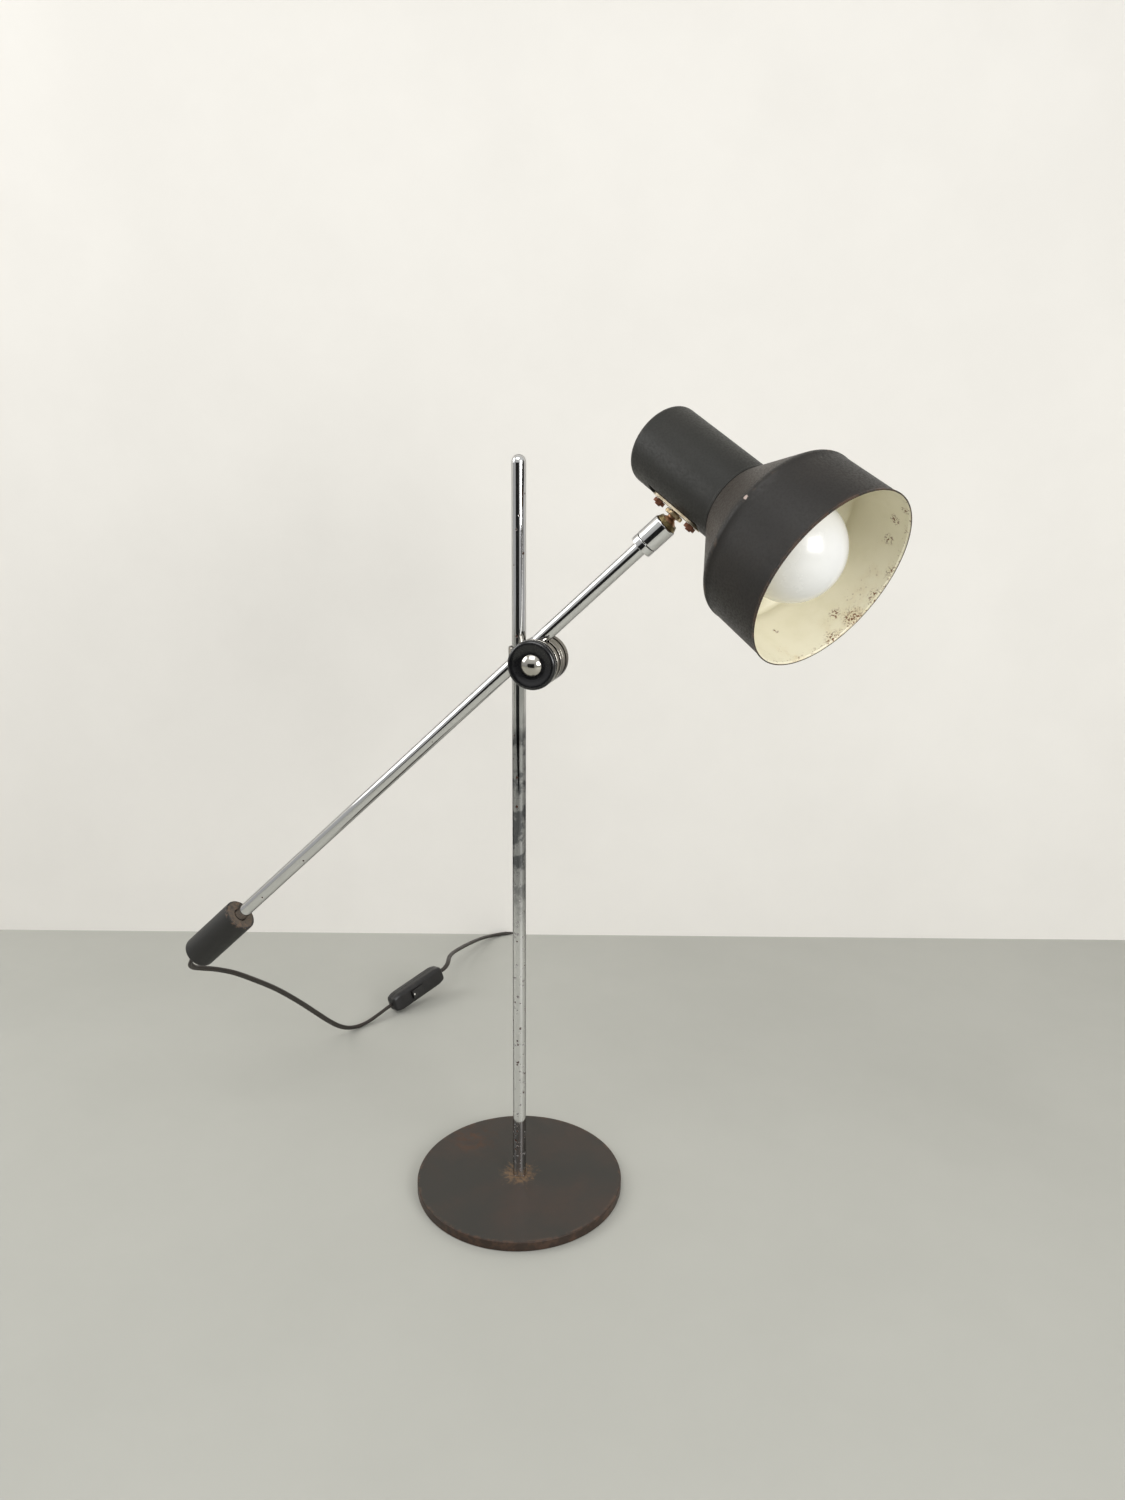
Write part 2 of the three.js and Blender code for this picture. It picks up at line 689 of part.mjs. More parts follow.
// Spun shade: a collar in the neck, a straight cone, a rounded crease and a near-straight band
function addShade(frame) {
  const collar = neckRadius - sheet - gap;
  const coneFoot = [neckRadius, neckMouth + gap + sheet / 2];
  const slope = Math.atan2(creaseRadius - coneFoot[0], creaseDistance - coneFoot[1]);
  const crease = new THREE.QuadraticBezierCurve(
    new THREE.Vector2(
      creaseRadius - creaseRound * Math.sin(slope), creaseDistance - creaseRound * Math.cos(slope)),
    new THREE.Vector2(creaseRadius + sheet / 2, creaseDistance + sheet / 2),
    new THREE.Vector2(bandTopRadius, creaseDistance + creaseRound),
  ).getPoints(arcSteps).map((point) => [point.x, point.y]);
  const outline = [
    [collar, neckMouth - shadeCollarLength],
    [collar, neckMouth + gap],
    coneFoot,
    ...crease,
    [rimRadius, rimDistance - rimHemLength],
    [rimRadius + rimHem, rimDistance - rimHemLength / 2],
    [rimRadius + rimHem, rimDistance],
  ];
  piece(frame, 'shade', revolve(walled(outline, sheet), largeTurn), paintedSteel);
}

// Strap, nipple and nut that carry the lampholder in the neck
function addStrap(frame) {
  const outline = new THREE.Shape();
  outline.moveTo(strapOuter, strapFront);
  outline.lineTo(strapOuter, -strapBack + strapThickness);
  outline.quadraticCurveTo(strapOuter, -strapBack, strapOuter - strapThickness, -strapBack);
  outline.lineTo(-strapTail, -strapBack);
  outline.lineTo(-strapTail, -strapBack + strapThickness);
  outline.lineTo(strapInner, -strapBack + strapThickness);
  outline.lineTo(strapInner, strapFront);
  const strip = new THREE.ExtrudeGeometry(outline, { depth: strapWidth, bevelEnabled: false })
    .translate(0, 0, -strapWidth / 2).rotateX(Math.PI / 2);
  const hole = (radius, z) => rod(radius + gap, strapTail, neckRadius, tinyTurn)
    .rotateY(Math.PI / 2).translate(0, 0, z);
  const [holeFrom, holeTo] = [-strapBack - overrun, -strapBack + strapThickness + overrun];
  const nippleHole = rod(nippleRadius + gap, holeFrom, holeTo);
  const wireHole = rod(wireRadius + 2 * gap, holeFrom, holeTo, tinyTurn).translate(wireRow, 0, 0);
  const sideHoles = [hole(studRadius, 0), ...screwPlaces.map((z) => hole(screwRadius, z))];
  piece(frame, 'lampholder_strap', cut(strip, ...sideHoles, nippleHole, wireHole), nickel);
  piece(frame, 'lampholder_nipple',
    ring(nippleBore, nippleRadius, -nippleBack, -nippleBack + nippleLength, tinyTurn), brass);
  const nutBack = -strapBack - gap - nippleNutThickness;
  piece(frame, 'nipple_nut', nut(nippleNutAcross, nippleRadius + gap, nutBack, nippleNutThickness), brass);
}

// Two-part lampholder with its threaded shell and contact
function addLampholder(frame) {
  const shellOuter = bulbCapRadius + gap + shellWall;
  const bore = shellOuter + gap;
  const floorTop = -holderSplit + holderFloor;
  piece(frame, 'lampholder_cap', revolve([
    [nippleRadius + gap, -holderBack],
    [holderCapRadius, -holderBack],
    ...new THREE.QuadraticBezierCurve(
      new THREE.Vector2(holderCapRadius, -holderBack),
      new THREE.Vector2(holderRadius, -holderBack),
      new THREE.Vector2(holderRadius, -holderBack + holderShoulder),
    ).getPoints(arcSteps).slice(1).map((point) => [point.x, point.y]),
    [holderRadius, -holderSplit - gap],
    [nippleRadius + gap, -holderSplit - gap],
  ], smallTurn), bakelite);
  const contactHole = holderContactRadius / 2;
  piece(frame, 'lampholder_body', revolve([
    [contactHole, -holderSplit],
    [holderRadius, -holderSplit],
    [holderRadius, holderFront - shellWall],
    [holderRadius - shellWall, holderFront],
    [bore, holderFront],
    [bore, floorTop],
    [contactHole, floorTop],
  ], smallTurn), bakelite);
  piece(frame, 'lampholder_shell',
    ring(shellOuter - shellWall, shellOuter, floorTop + gap, holderFront - gap), brass);
  const contactFoot = floorTop + seatGap;
  piece(frame, 'lampholder_contact',
    rod(holderContactRadius, contactFoot, contactFoot + holderContactThickness, tinyTurn), brass);
}

// Flex from the hollow stud along the strap and into the nipple
function addHeadFlex(frame) {
  const rim = neckAxisDistance - wireRow;
  const turn = neckAxisDistance - studEnd;
  const runs = [
    [0, -ballRadius + gap], [0, studEnd / 2], [0, rim - 2 * wireRadius],
    [-wireRadius / 2, rim - wireRadius / 2], [-2 * wireRadius, rim],
    [-holderBack / 2, rim], [-holderBack, rim], [-strapBack - strapThickness, rim],
    [-nippleBack - 2 * wireRadius, rim + turn / 3],
    [-nippleBack - 3 * wireRadius, neckAxisDistance - 3 * wireRadius],
    [-nippleBack - wireRadius, neckAxisDistance],
    [-nippleBack + nippleLength / 2, neckAxisDistance],
  ];
  piece(frame, 'head_flex', lead(runs.map(([x, z]) => [x, 0, z]), wireRadius, 8, 2 * wireRadius), rubber);
}

function addBulb(frame) {
  const tangent = radians(bulbTangentAngle);
  const onSphere = new THREE.Vector2(
    bulbRadius * Math.cos(tangent), bulbCentre - bulbRadius * Math.sin(tangent));
  const pull = new THREE.Vector2(Math.sin(tangent), Math.cos(tangent)).multiplyScalar(bulbShoulderPull);
  const shoulder = new THREE.CubicBezierCurve(
    new THREE.Vector2(bulbNeckRadius, bulbNeckEnd),
    new THREE.Vector2(bulbNeckRadius, bulbNeckEnd + bulbNeckPull),
    onSphere.clone().sub(pull),
    onSphere,
  ).getPoints(2 * arcSteps).map((point) => [point.x, point.y]);
  const outline = [
    [bulbFootRadius, bulbFoot],
    ...shoulder,
    ...arc(0, bulbCentre, bulbRadius, -bulbTangentAngle, 90, 3 * arcSteps).slice(1, -1),
    [0, bulbCentre + bulbRadius],
  ];
  piece(frame, 'bulb_glass', revolve(walled(outline, bulbGlassWall), mediumTurn), opalGlass);

  const capFront = bulbFoot - gap;
  const pitch = (capFront + bulbCapBack) / (2 * bulbThreads + 1);
  const threads = Array.from({ length: 2 * bulbThreads + 1 }, (_, i) => {
    const radius = i % 2 === 0 ? bulbCapRadius - bulbThreadDepth : bulbCapRadius;
    return [radius, -bulbCapBack + (i + 0.5) * pitch];
  });
  piece(frame, 'bulb_cap', revolve([
    [0, -bulbCapBack],
    [bulbCapRadius - 2 * bulbThreadDepth, -bulbCapBack],
    ...threads,
    [bulbCapRadius - bulbThreadDepth, capFront],
    [0, capFront],
  ]), nickel);
  const insulatorBack = -bulbCapBack - gap - bulbInsulatorLength;
  piece(frame, 'bulb_insulator', revolve([
    [bulbContactRadius + gap, insulatorBack],
    [bulbCapRadius - 4 * bulbThreadDepth, -bulbCapBack - gap],
    [bulbContactRadius + gap, -bulbCapBack - gap],
  ]), bakelite);
  const contactFront = -bulbCapBack - gap;
  piece(frame, 'bulb_contact',
    rod(bulbContactRadius, contactFront - bulbContactThickness, contactFront, tinyTurn), brass);
}

// Switch on the lead: two half shells on a joint line, a rocker on its pin, and two screws behind
function addSwitch() {
  const frame = frameIn(lamp, {
    position: switchCentre, rotation: [switchRoll, -switchPitch, switchHeading], order: 'ZYX',
  });
  const [long, wide, end] = [switchLength / 2 - switchEdge, switchWidth / 2 - switchEdge, switchEndWidth / 2];
  const quarter = [
    [long, end - switchEdge], [long - switchTaper / 2, wide - switchEdge / 2], [long - switchTaper, wide],
  ];
  const corners = [
    ...quarter,
    ...quarter.map(([x, y]) => [-x, y]).reverse(),
    ...quarter.map(([x, y]) => [-x, -y]),
    ...quarter.map(([x, y]) => [x, -y]).reverse(),
  ];
  const outline = new THREE.Shape(corners.map(([x, y]) => new THREE.Vector2(x, y)));
  const body = () => new THREE.ExtrudeGeometry(outline, {
    depth: switchThickness - 2 * switchEdge,
    bevelSize: switchEdge,
    bevelThickness: switchEdge,
    bevelSegments: 3,
  }).translate(0, 0, -switchThickness / 2 + switchEdge);
  const half = (side) => block(2 * switchLength, 2 * switchWidth, switchThickness)
    .translate(0, 0, side * (switchThickness + gap) / 2);
  const pocketTop = switchThickness / 2;
  const pocket = block(rockerLength + 4 * gap, rockerWidth + 2 * gap, 2 * rockerPocketDepth)
    .translate(rockerShift, 0, pocketTop);
  const pinHeight = pocketTop - rockerDepth / 2;
  const pinReach = switchEndWidth - overrun / 2;
  const pinHole = rod(rockerPinRadius + gap, -pinReach, pinReach, tinyTurn)
    .rotateX(Math.PI / 2).translate(rockerShift, 0, pinHeight);
  piece(frame, 'switch_front', cut(common(body(), half(1)), pocket, pinHole), switchPlastic);

  const screwPlace = switchScrewSpacing / 2;
  const sunk = -switchThickness / 2 + switchScrewHeadThickness + 2 * gap;
  const sinks = [-screwPlace, screwPlace].flatMap((x) => [
    rod(switchScrewHead + gap, -switchThickness, sunk, tinyTurn).translate(x, 0, 0),
    rod(switchScrewRadius + gap, -switchThickness, sunk + switchScrewLength, tinyTurn).translate(x, 0, 0),
  ]);
  piece(frame, 'switch_back', cut(common(body(), half(-1)), ...sinks), switchPlastic);
  [-screwPlace, screwPlace].forEach((x, i) => {
    const headBack = -switchThickness / 2 + gap;
    const screw = revolve([
      [0, headBack],
      [switchScrewHead, headBack],
      [switchScrewHead, headBack + switchScrewHeadThickness],
      [switchScrewRadius, headBack + switchScrewHeadThickness],
      [switchScrewRadius, -gap],
      [0, -gap],
    ], tinyTurn);
    piece(frame, `switch_screw_${i + 1}`, screw.translate(x, 0, 0), nickel);
  });

  const pivot = frameIn(frame, { position: [rockerShift, 0, pinHeight], rotation: [0, rockerRest, 0] });
  const rockerTop = pocketTop - pinHeight + rockerProud;
  const [face, foot, under] = [rockerLength / 2, rockerLength / 3, -rockerDepth / 2];
  const side = new THREE.Shape();
  side.moveTo(-face, rockerTop);
  side.lineTo(-face, rockerTop - 2 * rockerProud);
  side.lineTo(-foot, under);
  side.lineTo(foot, under);
  side.lineTo(face, rockerTop - 2 * rockerProud);
  side.lineTo(face, rockerTop);
  side.quadraticCurveTo(0, rockerTop - rockerProud, -face, rockerTop);
  const wedge = new THREE.ExtrudeGeometry(side, { depth: rockerWidth, bevelEnabled: false, curveSegments: 4 })
    .translate(0, 0, -rockerWidth / 2).rotateX(Math.PI / 2);
  const eye = rod(rockerPinRadius + gap, -rockerWidth, rockerWidth, tinyTurn).rotateX(Math.PI / 2);
  piece(pivot, 'switch_rocker', cut(wedge, eye), switchPlastic);
  const pinHalf = pinReach - gap;
  const pin = rod(rockerPinRadius, -pinHalf, pinHalf, tinyTurn).rotateX(Math.PI / 2);
  piece(frame, 'rocker_pin', pin.translate(rockerShift, 0, pinHeight), nickel);
}

// Turns of the coil, in and then out again one layer higher, and the straight lead to the plug
function coilPoints() {
  const stepsEachTurn = 24;
  const layer = coilTurnsEachLayer * stepsEachTurn;
  const climb = stepsEachTurn / 2;
  const start = radians(coilHeading - 90);
  const total = 2 * layer + climb;
  const turnOf = (i) => i / stepsEachTurn;
  const place = (i) => {
    const inward = Math.min(i, total - i);
    const radius = coilOuterRadius - coilPitch * turnOf(inward);
    const rise = THREE.MathUtils.clamp((i - layer) / climb, 0, 1);
    const angle = start + 2 * Math.PI * turnOf(i);
    const height = coilFirstHeight + coilPitch * rise;
    return new THREE.Vector3(
      coilCentre[0] + radius * Math.cos(angle), coilCentre[1] + radius * Math.sin(angle), height);
  };
  const loops = Array.from({ length: total + 1 }, (_, i) => place(i));
  const heading = new THREE.Vector3(Math.cos(radians(coilHeading)), Math.sin(radians(coilHeading)), 0);
  const entry = loops[0].clone().addScaledVector(heading, -2 * leadRadius);
  const last = loops.at(-1);
  const plugHeight = plugThickness / 2 + seatGap;
  const exitShares = [0.14, 0.3, 0.5, 0.7, 0.88, 1];
  const exit = exitShares.map((share) => {
    const point = last.clone().addScaledVector(heading, -coilLead * share);
    point.z = THREE.MathUtils.lerp(last.z, plugHeight, THREE.MathUtils.smoothstep(share, 0, 1));
    return point;
  });
  return { points: [entry, ...loops, ...exit], heading };
}

// A six-sided tube through every point, its sides held level as the turns lie flat.
function sweep(points, radius, sides) {
  const up = new THREE.Vector3(0, 0, 1);
  const positions = [];
  points.forEach((point, i) => {
    const ahead = points[Math.min(i + 1, points.length - 1)];
    const behind = points[Math.max(i - 1, 0)];
    const along = ahead.clone().sub(behind).normalize();
    const across = along.clone().cross(up).normalize();
    const over = across.clone().cross(along);
    for (let k = 0; k < sides; k += 1) {
      const angle = (2 * Math.PI * k) / sides;
      const corner = point.clone()
        .addScaledVector(across, radius * Math.cos(angle))
        .addScaledVector(over, radius * Math.sin(angle));
      positions.push(corner.x, corner.y, corner.z);
    }
  });
  const index = [];
  for (let i = 0; i + 1 < points.length; i += 1) {
    for (let k = 0; k < sides; k += 1) {
      const [a, b] = [i * sides + k, i * sides + ((k + 1) % sides)];
      index.push(a, b, b + sides, a, b + sides, a + sides);
    }
  }
  const last = (points.length - 1) * sides;
  for (let k = 1; k + 1 < sides; k += 1) {
    index.push(0, k + 1, k, last, last + k, last + k + 1);
  }
  const geometry = new THREE.BufferGeometry();
  geometry.setAttribute('position', new THREE.Float32BufferAttribute(positions, 3));
  geometry.setIndex(index);
  return geometry;
}

// Least gap between turns of a tube, between points more than a few diameters apart along it
function leastGap(points, radius) {
  let least = Infinity;
  points.forEach((a, i) => {
    for (let j = i + 6; j < points.length; j += 1) {
      least = Math.min(least, a.distanceTo(points[j]));
    }
  });
  return least - 2 * radius;
}

function addLead() {
  const stepLength = 3 * leadRadius;
  piece(lamp, 'cord_hanging', lead(hangingRoute, leadRadius, 8, stepLength), rubber);
  piece(lamp, 'cord_floor', lead(floorRoute, leadRadius, 8, stepLength), rubber);
  const { points, heading } = coilPoints();
  console.log(`least gap in the coil ${leastGap(points, leadRadius).toFixed(2)} mm`);
  piece(lamp, 'cord_coil', sweep(points, leadRadius, 6), rubber);

  const end = points.at(-1).clone().addScaledVector(heading, -gap);
  const plug = frameIn(lamp, { position: end.toArray(), rotation: [0, 0, coilHeading + 180] });
  const along = (geometry) => geometry.rotateY(Math.PI / 2);
  piece(plug, 'plug_relief', along(revolve([
    [0, 0], [plugReliefTip, 0], [plugReliefRadius, plugReliefLength], [0, plugReliefLength],
  ], tinyTurn)), switchPlastic);
  const back = plugReliefLength + gap;
  const [half, waist] = [plugWidth / 2 - plugEdge, plugWaist / 2 - plugEdge];
  const outline = [
    [0, -waist], [plugLength / 3, -waist], [plugLength / 2, -half], [plugLength - 2 * plugEdge, -half],
    [plugLength - 2 * plugEdge, half], [plugLength / 2, half], [plugLength / 3, waist], [0, waist],
  ];
  const body = new THREE.ExtrudeGeometry(new THREE.Shape(outline.map(([x, y]) => new THREE.Vector2(x, y))), {
    depth: plugThickness - 2 * plugEdge, bevelSize: plugEdge, bevelThickness: plugEdge, bevelSegments: 2,
  }).translate(back + plugEdge, 0, -plugThickness / 2 + plugEdge);
  piece(plug, 'plug_body', body, switchPlastic);
  const pinStart = back + plugLength + gap;
  [-1, 1].forEach((side, i) => {
    const pin = along(revolve([
      [0, pinStart],
      [plugPinRadius, pinStart],
      ...arc(0, pinStart + plugPinLength - plugPinRadius, plugPinRadius, 0, 90).slice(0, -1),
      [0, pinStart + plugPinLength],
    ], tinyTurn));
    piece(plug, `plug_pin_${i + 1}`, pin.translate(0, (side * plugPinSpacing) / 2, 0), nickel);
  });
}

addBase();
addLead();
addSwitch();

const clampFrame = frameIn(lamp, { position: [0, 0, clampHeight] });
addPoleClamp(clampFrame);
const boltFrame = frameIn(clampFrame, { position: [boltOffset, 0, 0] });
addClampBolt(boltFrame);
addKnob(boltFrame);

const tiltFrame = frameIn(boltFrame, { rotation: [0, 90 - armElevation, 0] });
addJaws(tiltFrame);
const armFrame = frameIn(tiltFrame, { position: [-armOffset, -armDepth, 0] });
addArm(armFrame);

const sleeveFrame = frameIn(armFrame, { position: [0, 0, swivelDistance], rotation: [0, 0, sleeveTurn] });
addSleeve(sleeveFrame);
const studFrame = frameIn(sleeveFrame, { rotation: [0, studTilt, 0] });
addBallStud(studFrame);

const headFrame = frameIn(studFrame, { rotation: [0, 0, headTurn] });
addBracket(headFrame);
addHeadFlex(headFrame);
const shadeFrame = frameIn(headFrame, { position: [0, 0, neckAxisDistance], rotation: [0, 90, 0] });
addNeck(shadeFrame);
addShade(shadeFrame);
addStrap(shadeFrame);
addLampholder(shadeFrame);
addBulb(shadeFrame);

export default lamp;
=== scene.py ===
"""Looks of a counterbalanced work lamp: base, pole, clamp, arm, ball swivel, shade, bulb, switch and lead.

Lengths in this file are in millimetres, as on a drawing, and each mesh is written in metres in the CAD
model's frame: origin under the middle of the base, +Z up, the arm in a plane along X, the clamp's knob
towards -Y.
"""

from __future__ import annotations

import logging
import math
from collections.abc import Sequence
from dataclasses import dataclass, field
from enum import Enum

import bmesh
import bpy
import numpy as np
from mathutils import Matrix, Vector


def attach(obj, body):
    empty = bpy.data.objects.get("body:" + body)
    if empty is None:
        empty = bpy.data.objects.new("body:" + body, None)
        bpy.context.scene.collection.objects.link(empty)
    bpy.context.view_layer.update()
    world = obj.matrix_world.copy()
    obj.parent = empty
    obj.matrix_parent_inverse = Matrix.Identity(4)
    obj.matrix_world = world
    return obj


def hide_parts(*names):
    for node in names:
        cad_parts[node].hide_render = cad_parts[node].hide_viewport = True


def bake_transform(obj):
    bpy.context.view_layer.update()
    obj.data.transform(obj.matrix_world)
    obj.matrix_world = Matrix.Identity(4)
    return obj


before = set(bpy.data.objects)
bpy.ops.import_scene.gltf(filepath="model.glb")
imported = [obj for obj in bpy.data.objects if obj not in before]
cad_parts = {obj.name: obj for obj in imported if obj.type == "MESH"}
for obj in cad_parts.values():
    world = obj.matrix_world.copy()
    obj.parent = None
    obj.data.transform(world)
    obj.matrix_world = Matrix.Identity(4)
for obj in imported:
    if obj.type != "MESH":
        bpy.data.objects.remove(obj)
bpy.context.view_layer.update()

Array = np.ndarray
Object = bpy.types.Object
Material = bpy.types.Material
Colour = tuple[float, float, float]
Point = tuple[float, float, float]
MM = 0.001
# Degrees past which an edge stays sharp, on a new mesh and on a carved one
SHARP = 35.0
CARVED_SHARP = 32.0
LOG = logging.getLogger("work_lamp")


class Body(Enum):
    """The rigid bodies that pieces ride on."""

    BASE = "base"
    COLUMN = "column"
    CLAMP = "clamp"
    KNOB = "clamp_knob"
    JAWS = "jaws"
    ARM = "arm"
    SWIVEL = "swivel"
    STUD = "stud"
    HEAD = "head"
    ROCKER = "rocker"


class Slot(Enum):
    """The record's material slots."""

    BASE_STEEL = "base_steel"
    FELT = "felt"
    CHROME = "chrome"
    NICKEL = "nickel"
    RUSTY_STEEL = "rusty_steel"
    BRASS = "brass"
    BAKELITE = "bakelite"
    BLACK_PAINT = "black_paint"
    SHADE_PAINT = "shade_paint"
    OPAL_GLASS = "opal_glass"
    RUBBER = "rubber"
    BLACK_PLASTIC = "black_plastic"


# Places


def shifted(x: float = 0.0, y: float = 0.0, z: float = 0.0) -> Array:
    """A 4 by 4 matrix that moves by (x, y, z) millimetres.

    Args:
        x: Millimetres along X.
        y: Along Y.
        z: Along Z.

    Returns:
        The matrix.
    """
    matrix = np.eye(4)
    matrix[:3, 3] = (x, y, z)
    return matrix


def rotated(x: float = 0.0, y: float = 0.0, z: float = 0.0) -> Array:
    """A 4 by 4 matrix that turns by x degrees about X, then y about Y, then z about Z.

    Args:
        x: Degrees about X.
        y: About Y.
        z: About Z.

    Returns:
        The matrix.
    """
    matrix = np.eye(4)
    for angle, (i, j) in zip((x, y, z), ((1, 2), (2, 0), (0, 1))):
        c, s = math.cos(math.radians(angle)), math.sin(math.radians(angle))
        step = np.eye(4)
        step[i, i], step[i, j], step[j, i], step[j, j] = c, -s, s, c
        matrix = step @ matrix
    return matrix


def moved(matrix: Array, points: Array) -> Array:
    """Rows of points after a 4 by 4 matrix."""
    return points @ matrix[:3, :3].T + matrix[:3, 3]


TO_FRONT = rotated(x=90)


@dataclass(frozen=True)
class Pose:
    """Where the moving bodies stand in the photograph, as a chain of 4 by 4 matrices."""

    clamp_height: float = 433.2
    bolt_offset: float = 17.6
    arm_elevation: float = 43.236
    arm_offset: float = 10.06
    arm_depth: float = 14.5
    swivel_distance: float = 130.6
    sleeve_turn: float = 130.45
    stud_tilt: float = 12.2
    head_turn: float = -160.97
    neck_distance: float = 38.92

    def clamp(self) -> Array:
        """On the pole's axis at the height of the clamp."""
        return shifted(z=self.clamp_height)

    def bolt(self) -> Array:
        """On the clamp bolt, with local +Z pointing to the front."""
        return self.clamp() @ shifted(x=self.bolt_offset) @ TO_FRONT

    def jaws(self) -> Array:
        """On the clamp bolt, turned with the arm."""
        return self.clamp() @ shifted(x=self.bolt_offset) @ rotated(y=90 - self.arm_elevation)

    def arm(self) -> Array:
        """On the arm's axis beside the bolt, with local +Z along the arm."""
        return self.jaws() @ shifted(x=-self.arm_offset, y=-self.arm_depth)

    def sleeve(self) -> Array:
        """In the ball's centre, along the arm."""
        return self.arm() @ shifted(z=self.swivel_distance) @ rotated(z=self.sleeve_turn)

    def stud(self) -> Array:
        """In the ball's centre, along the stud."""
        return self.sleeve() @ rotated(y=self.stud_tilt)

    def head(self) -> Array:
        """In the ball's centre, along the stud, turned with the head."""
        return self.stud() @ rotated(z=self.head_turn)

    def shade(self) -> Array:
        """Where the stud meets the shade's axis, with local +Z along that axis towards the mouth."""
        return self.head() @ shifted(z=self.neck_distance) @ rotated(y=90)


POSE = Pose()


# Meshes


def smoothed(mesh: bpy.types.Mesh, sharp: float) -> None:
    """Smooths a mesh but for the edges that turn by more than this many degrees."""
    mesh.polygons.foreach_set("use_smooth", np.ones(len(mesh.polygons), bool))
    mesh.set_sharp_from_angle(angle=math.radians(sharp))


def linked(name: str, data: bpy.types.ID) -> Object:
    """Makes an object of a mesh, camera or lamp and links it to the scene.

    Args:
        name: The object's name.
        data: What it shows.

    Returns:
        The object.
    """
    piece = bpy.data.objects.new(name, data)
    bpy.context.scene.collection.objects.link(piece)
    return piece


def ring_faces(rows: int, around: int, loop: bool = False) -> list[list[int]]:
    """Faces between neighbouring closed rings of points. In a loop the last ring meets the first.

    Args:
        rows: How many rings there are.
        around: Points in each.
        loop: Whether the last ring meets the first.

    Returns:
        Four corner numbers for each face.
    """
    index = np.arange(rows * around).reshape(rows, around)
    lower, upper = (index, np.roll(index, -1, 0)) if loop else (index[:-1], index[1:])
    quads = np.stack([lower, np.roll(lower, -1, 1), np.roll(upper, -1, 1), upper], axis=2)
    return quads.reshape(-1, 4).tolist()


def tube_faces(rows: int, around: int) -> list[list[int]]:
    """Faces of a tube of closed rings, with one face over each end."""
    last = (rows - 1) * around
    return ring_faces(rows, around) + [list(range(around))[::-1], list(range(last, last + around))]


def rectangle(left: float, low: float, right: float, high: float) -> Array:
    """The corners of a rectangle."""
    return np.array([[left, low], [right, low], [right, high], [left, high]], float)


def rod(radius: float, low: float, high: float) -> Array:
    """The outline of a plain cylinder."""
    return rectangle(0, low, radius, high)


def ring(inner: float, outer: float, low: float, high: float) -> Array:
    """The outline of a plain ring, as a loop."""
    return rectangle(inner, low, outer, high)


def squared(wave: Array, power: float) -> Array:
    """sign(w) |w|^p of a cosine or sine, which makes a circle's corners squarer where p is below 1."""
    return np.sign(wave) * np.abs(wave) ** power


def finished(
    name: str, points: Array, faces: Sequence[Sequence[int]], place: Array, sharp: float = SHARP
) -> Object:
    """Makes a closed, smooth mesh object from points in millimetres.

    Args:
        name: Name of the piece.
        points: Corners, one row each, in the piece's own frame.
        faces: Corner numbers of each face.
        place: From the piece's frame to the lamp's.
        sharp: Edges that turn by more than this many degrees stay sharp.

    Returns:
        The object, linked to the scene, its place in its mesh.
    """
    mesh = bpy.data.meshes.new(name)
    mesh.from_pydata((moved(place, points) * MM).tolist(), [], [list(face) for face in faces])
    mesh.validate()
    shape = bmesh.new()
    shape.from_mesh(mesh)
    if shape.calc_volume(signed=True) < 0:
        bmesh.ops.reverse_faces(shape, faces=shape.faces)
    shape.to_mesh(mesh)
    shape.free()
    smoothed(mesh, sharp)
    return linked(name, mesh)


def rounded(
    outline: Sequence[Sequence[float]], radius: float = 0.4, loop: bool = False, steps: int = 4
) -> Array:
    """Rounds the corners of an outline [radius, height] with quadratic arcs.

    A corner P between neighbours A and B becomes the curve from P + c(A - P)/|A - P| to
    P + c(B - P)/|B - P| with control point P, where c is the radius, or 0.4 of the shorter side. A holding
    point lies 0.2 c outside each end, so that the flat faces beside the corner stay flat in the light.

    Args:
        outline: The corners, in order.
        radius: How far from the corner the rounding starts.
        loop: Whether the outline closes on itself.
        steps: Parts of each rounding.

    Returns:
        The rounded outline, one row for each point.
    """
    corners = np.asarray(outline, float)
    before = np.roll(corners, 1, 0) if loop else corners[:-2]
    after = np.roll(corners, -1, 0) if loop else corners[2:]
    middle = corners if loop else corners[1:-1]
    back, ahead = before - middle, after - middle
    back_length = np.linalg.norm(back, axis=1, keepdims=True)
    ahead_length = np.linalg.norm(ahead, axis=1, keepdims=True)
    cut = np.minimum(radius, 0.4 * np.minimum(back_length, ahead_length))
    start, end = middle + back / back_length * cut, middle + ahead / ahead_length * cut
    t = np.linspace(0, 1, steps + 1)[None, :, None]
    curve = (1 - t) ** 2 * start[:, None] + 2 * t * (1 - t) * middle[:, None] + t**2 * end[:, None]
    hold = 0.2 * cut
    first = (start + back / back_length * hold)[:, None]
    last = (end + ahead / ahead_length * hold)[:, None]
    points = np.concatenate([first, curve, last], axis=1).reshape(-1, 2)
    return points if loop else np.vstack([corners[:1], points, corners[-1:]])


def arc(radius: float, centre: float, start: float, end: float, steps: int = 12) -> list[list[float]]:
    """Points [radius, height] on a circle round a point of the axis, from one angle to another in degrees."""
    angles = np.radians(np.linspace(start, end, steps + 1))
    return np.stack([radius * np.cos(angles), centre + radius * np.sin(angles)], axis=1).tolist()


def bezier(points: Sequence[Sequence[float]], steps: int = 12) -> Array:
    """Points on the Bezier curve of three or four control points: the sum of Bernstein weights times them.

    Args:
        points: The control points.
        steps: Parts of the curve.

    Returns:
        One row for each point.
    """
    control = np.asarray(points, float)
    degree = len(control) - 1
    t = np.linspace(0, 1, steps + 1)[:, None]
    weights = [math.comb(degree, k) * t**k * (1 - t) ** (degree - k) for k in range(degree + 1)]
    return sum(weight * control[k] for k, weight in enumerate(weights))


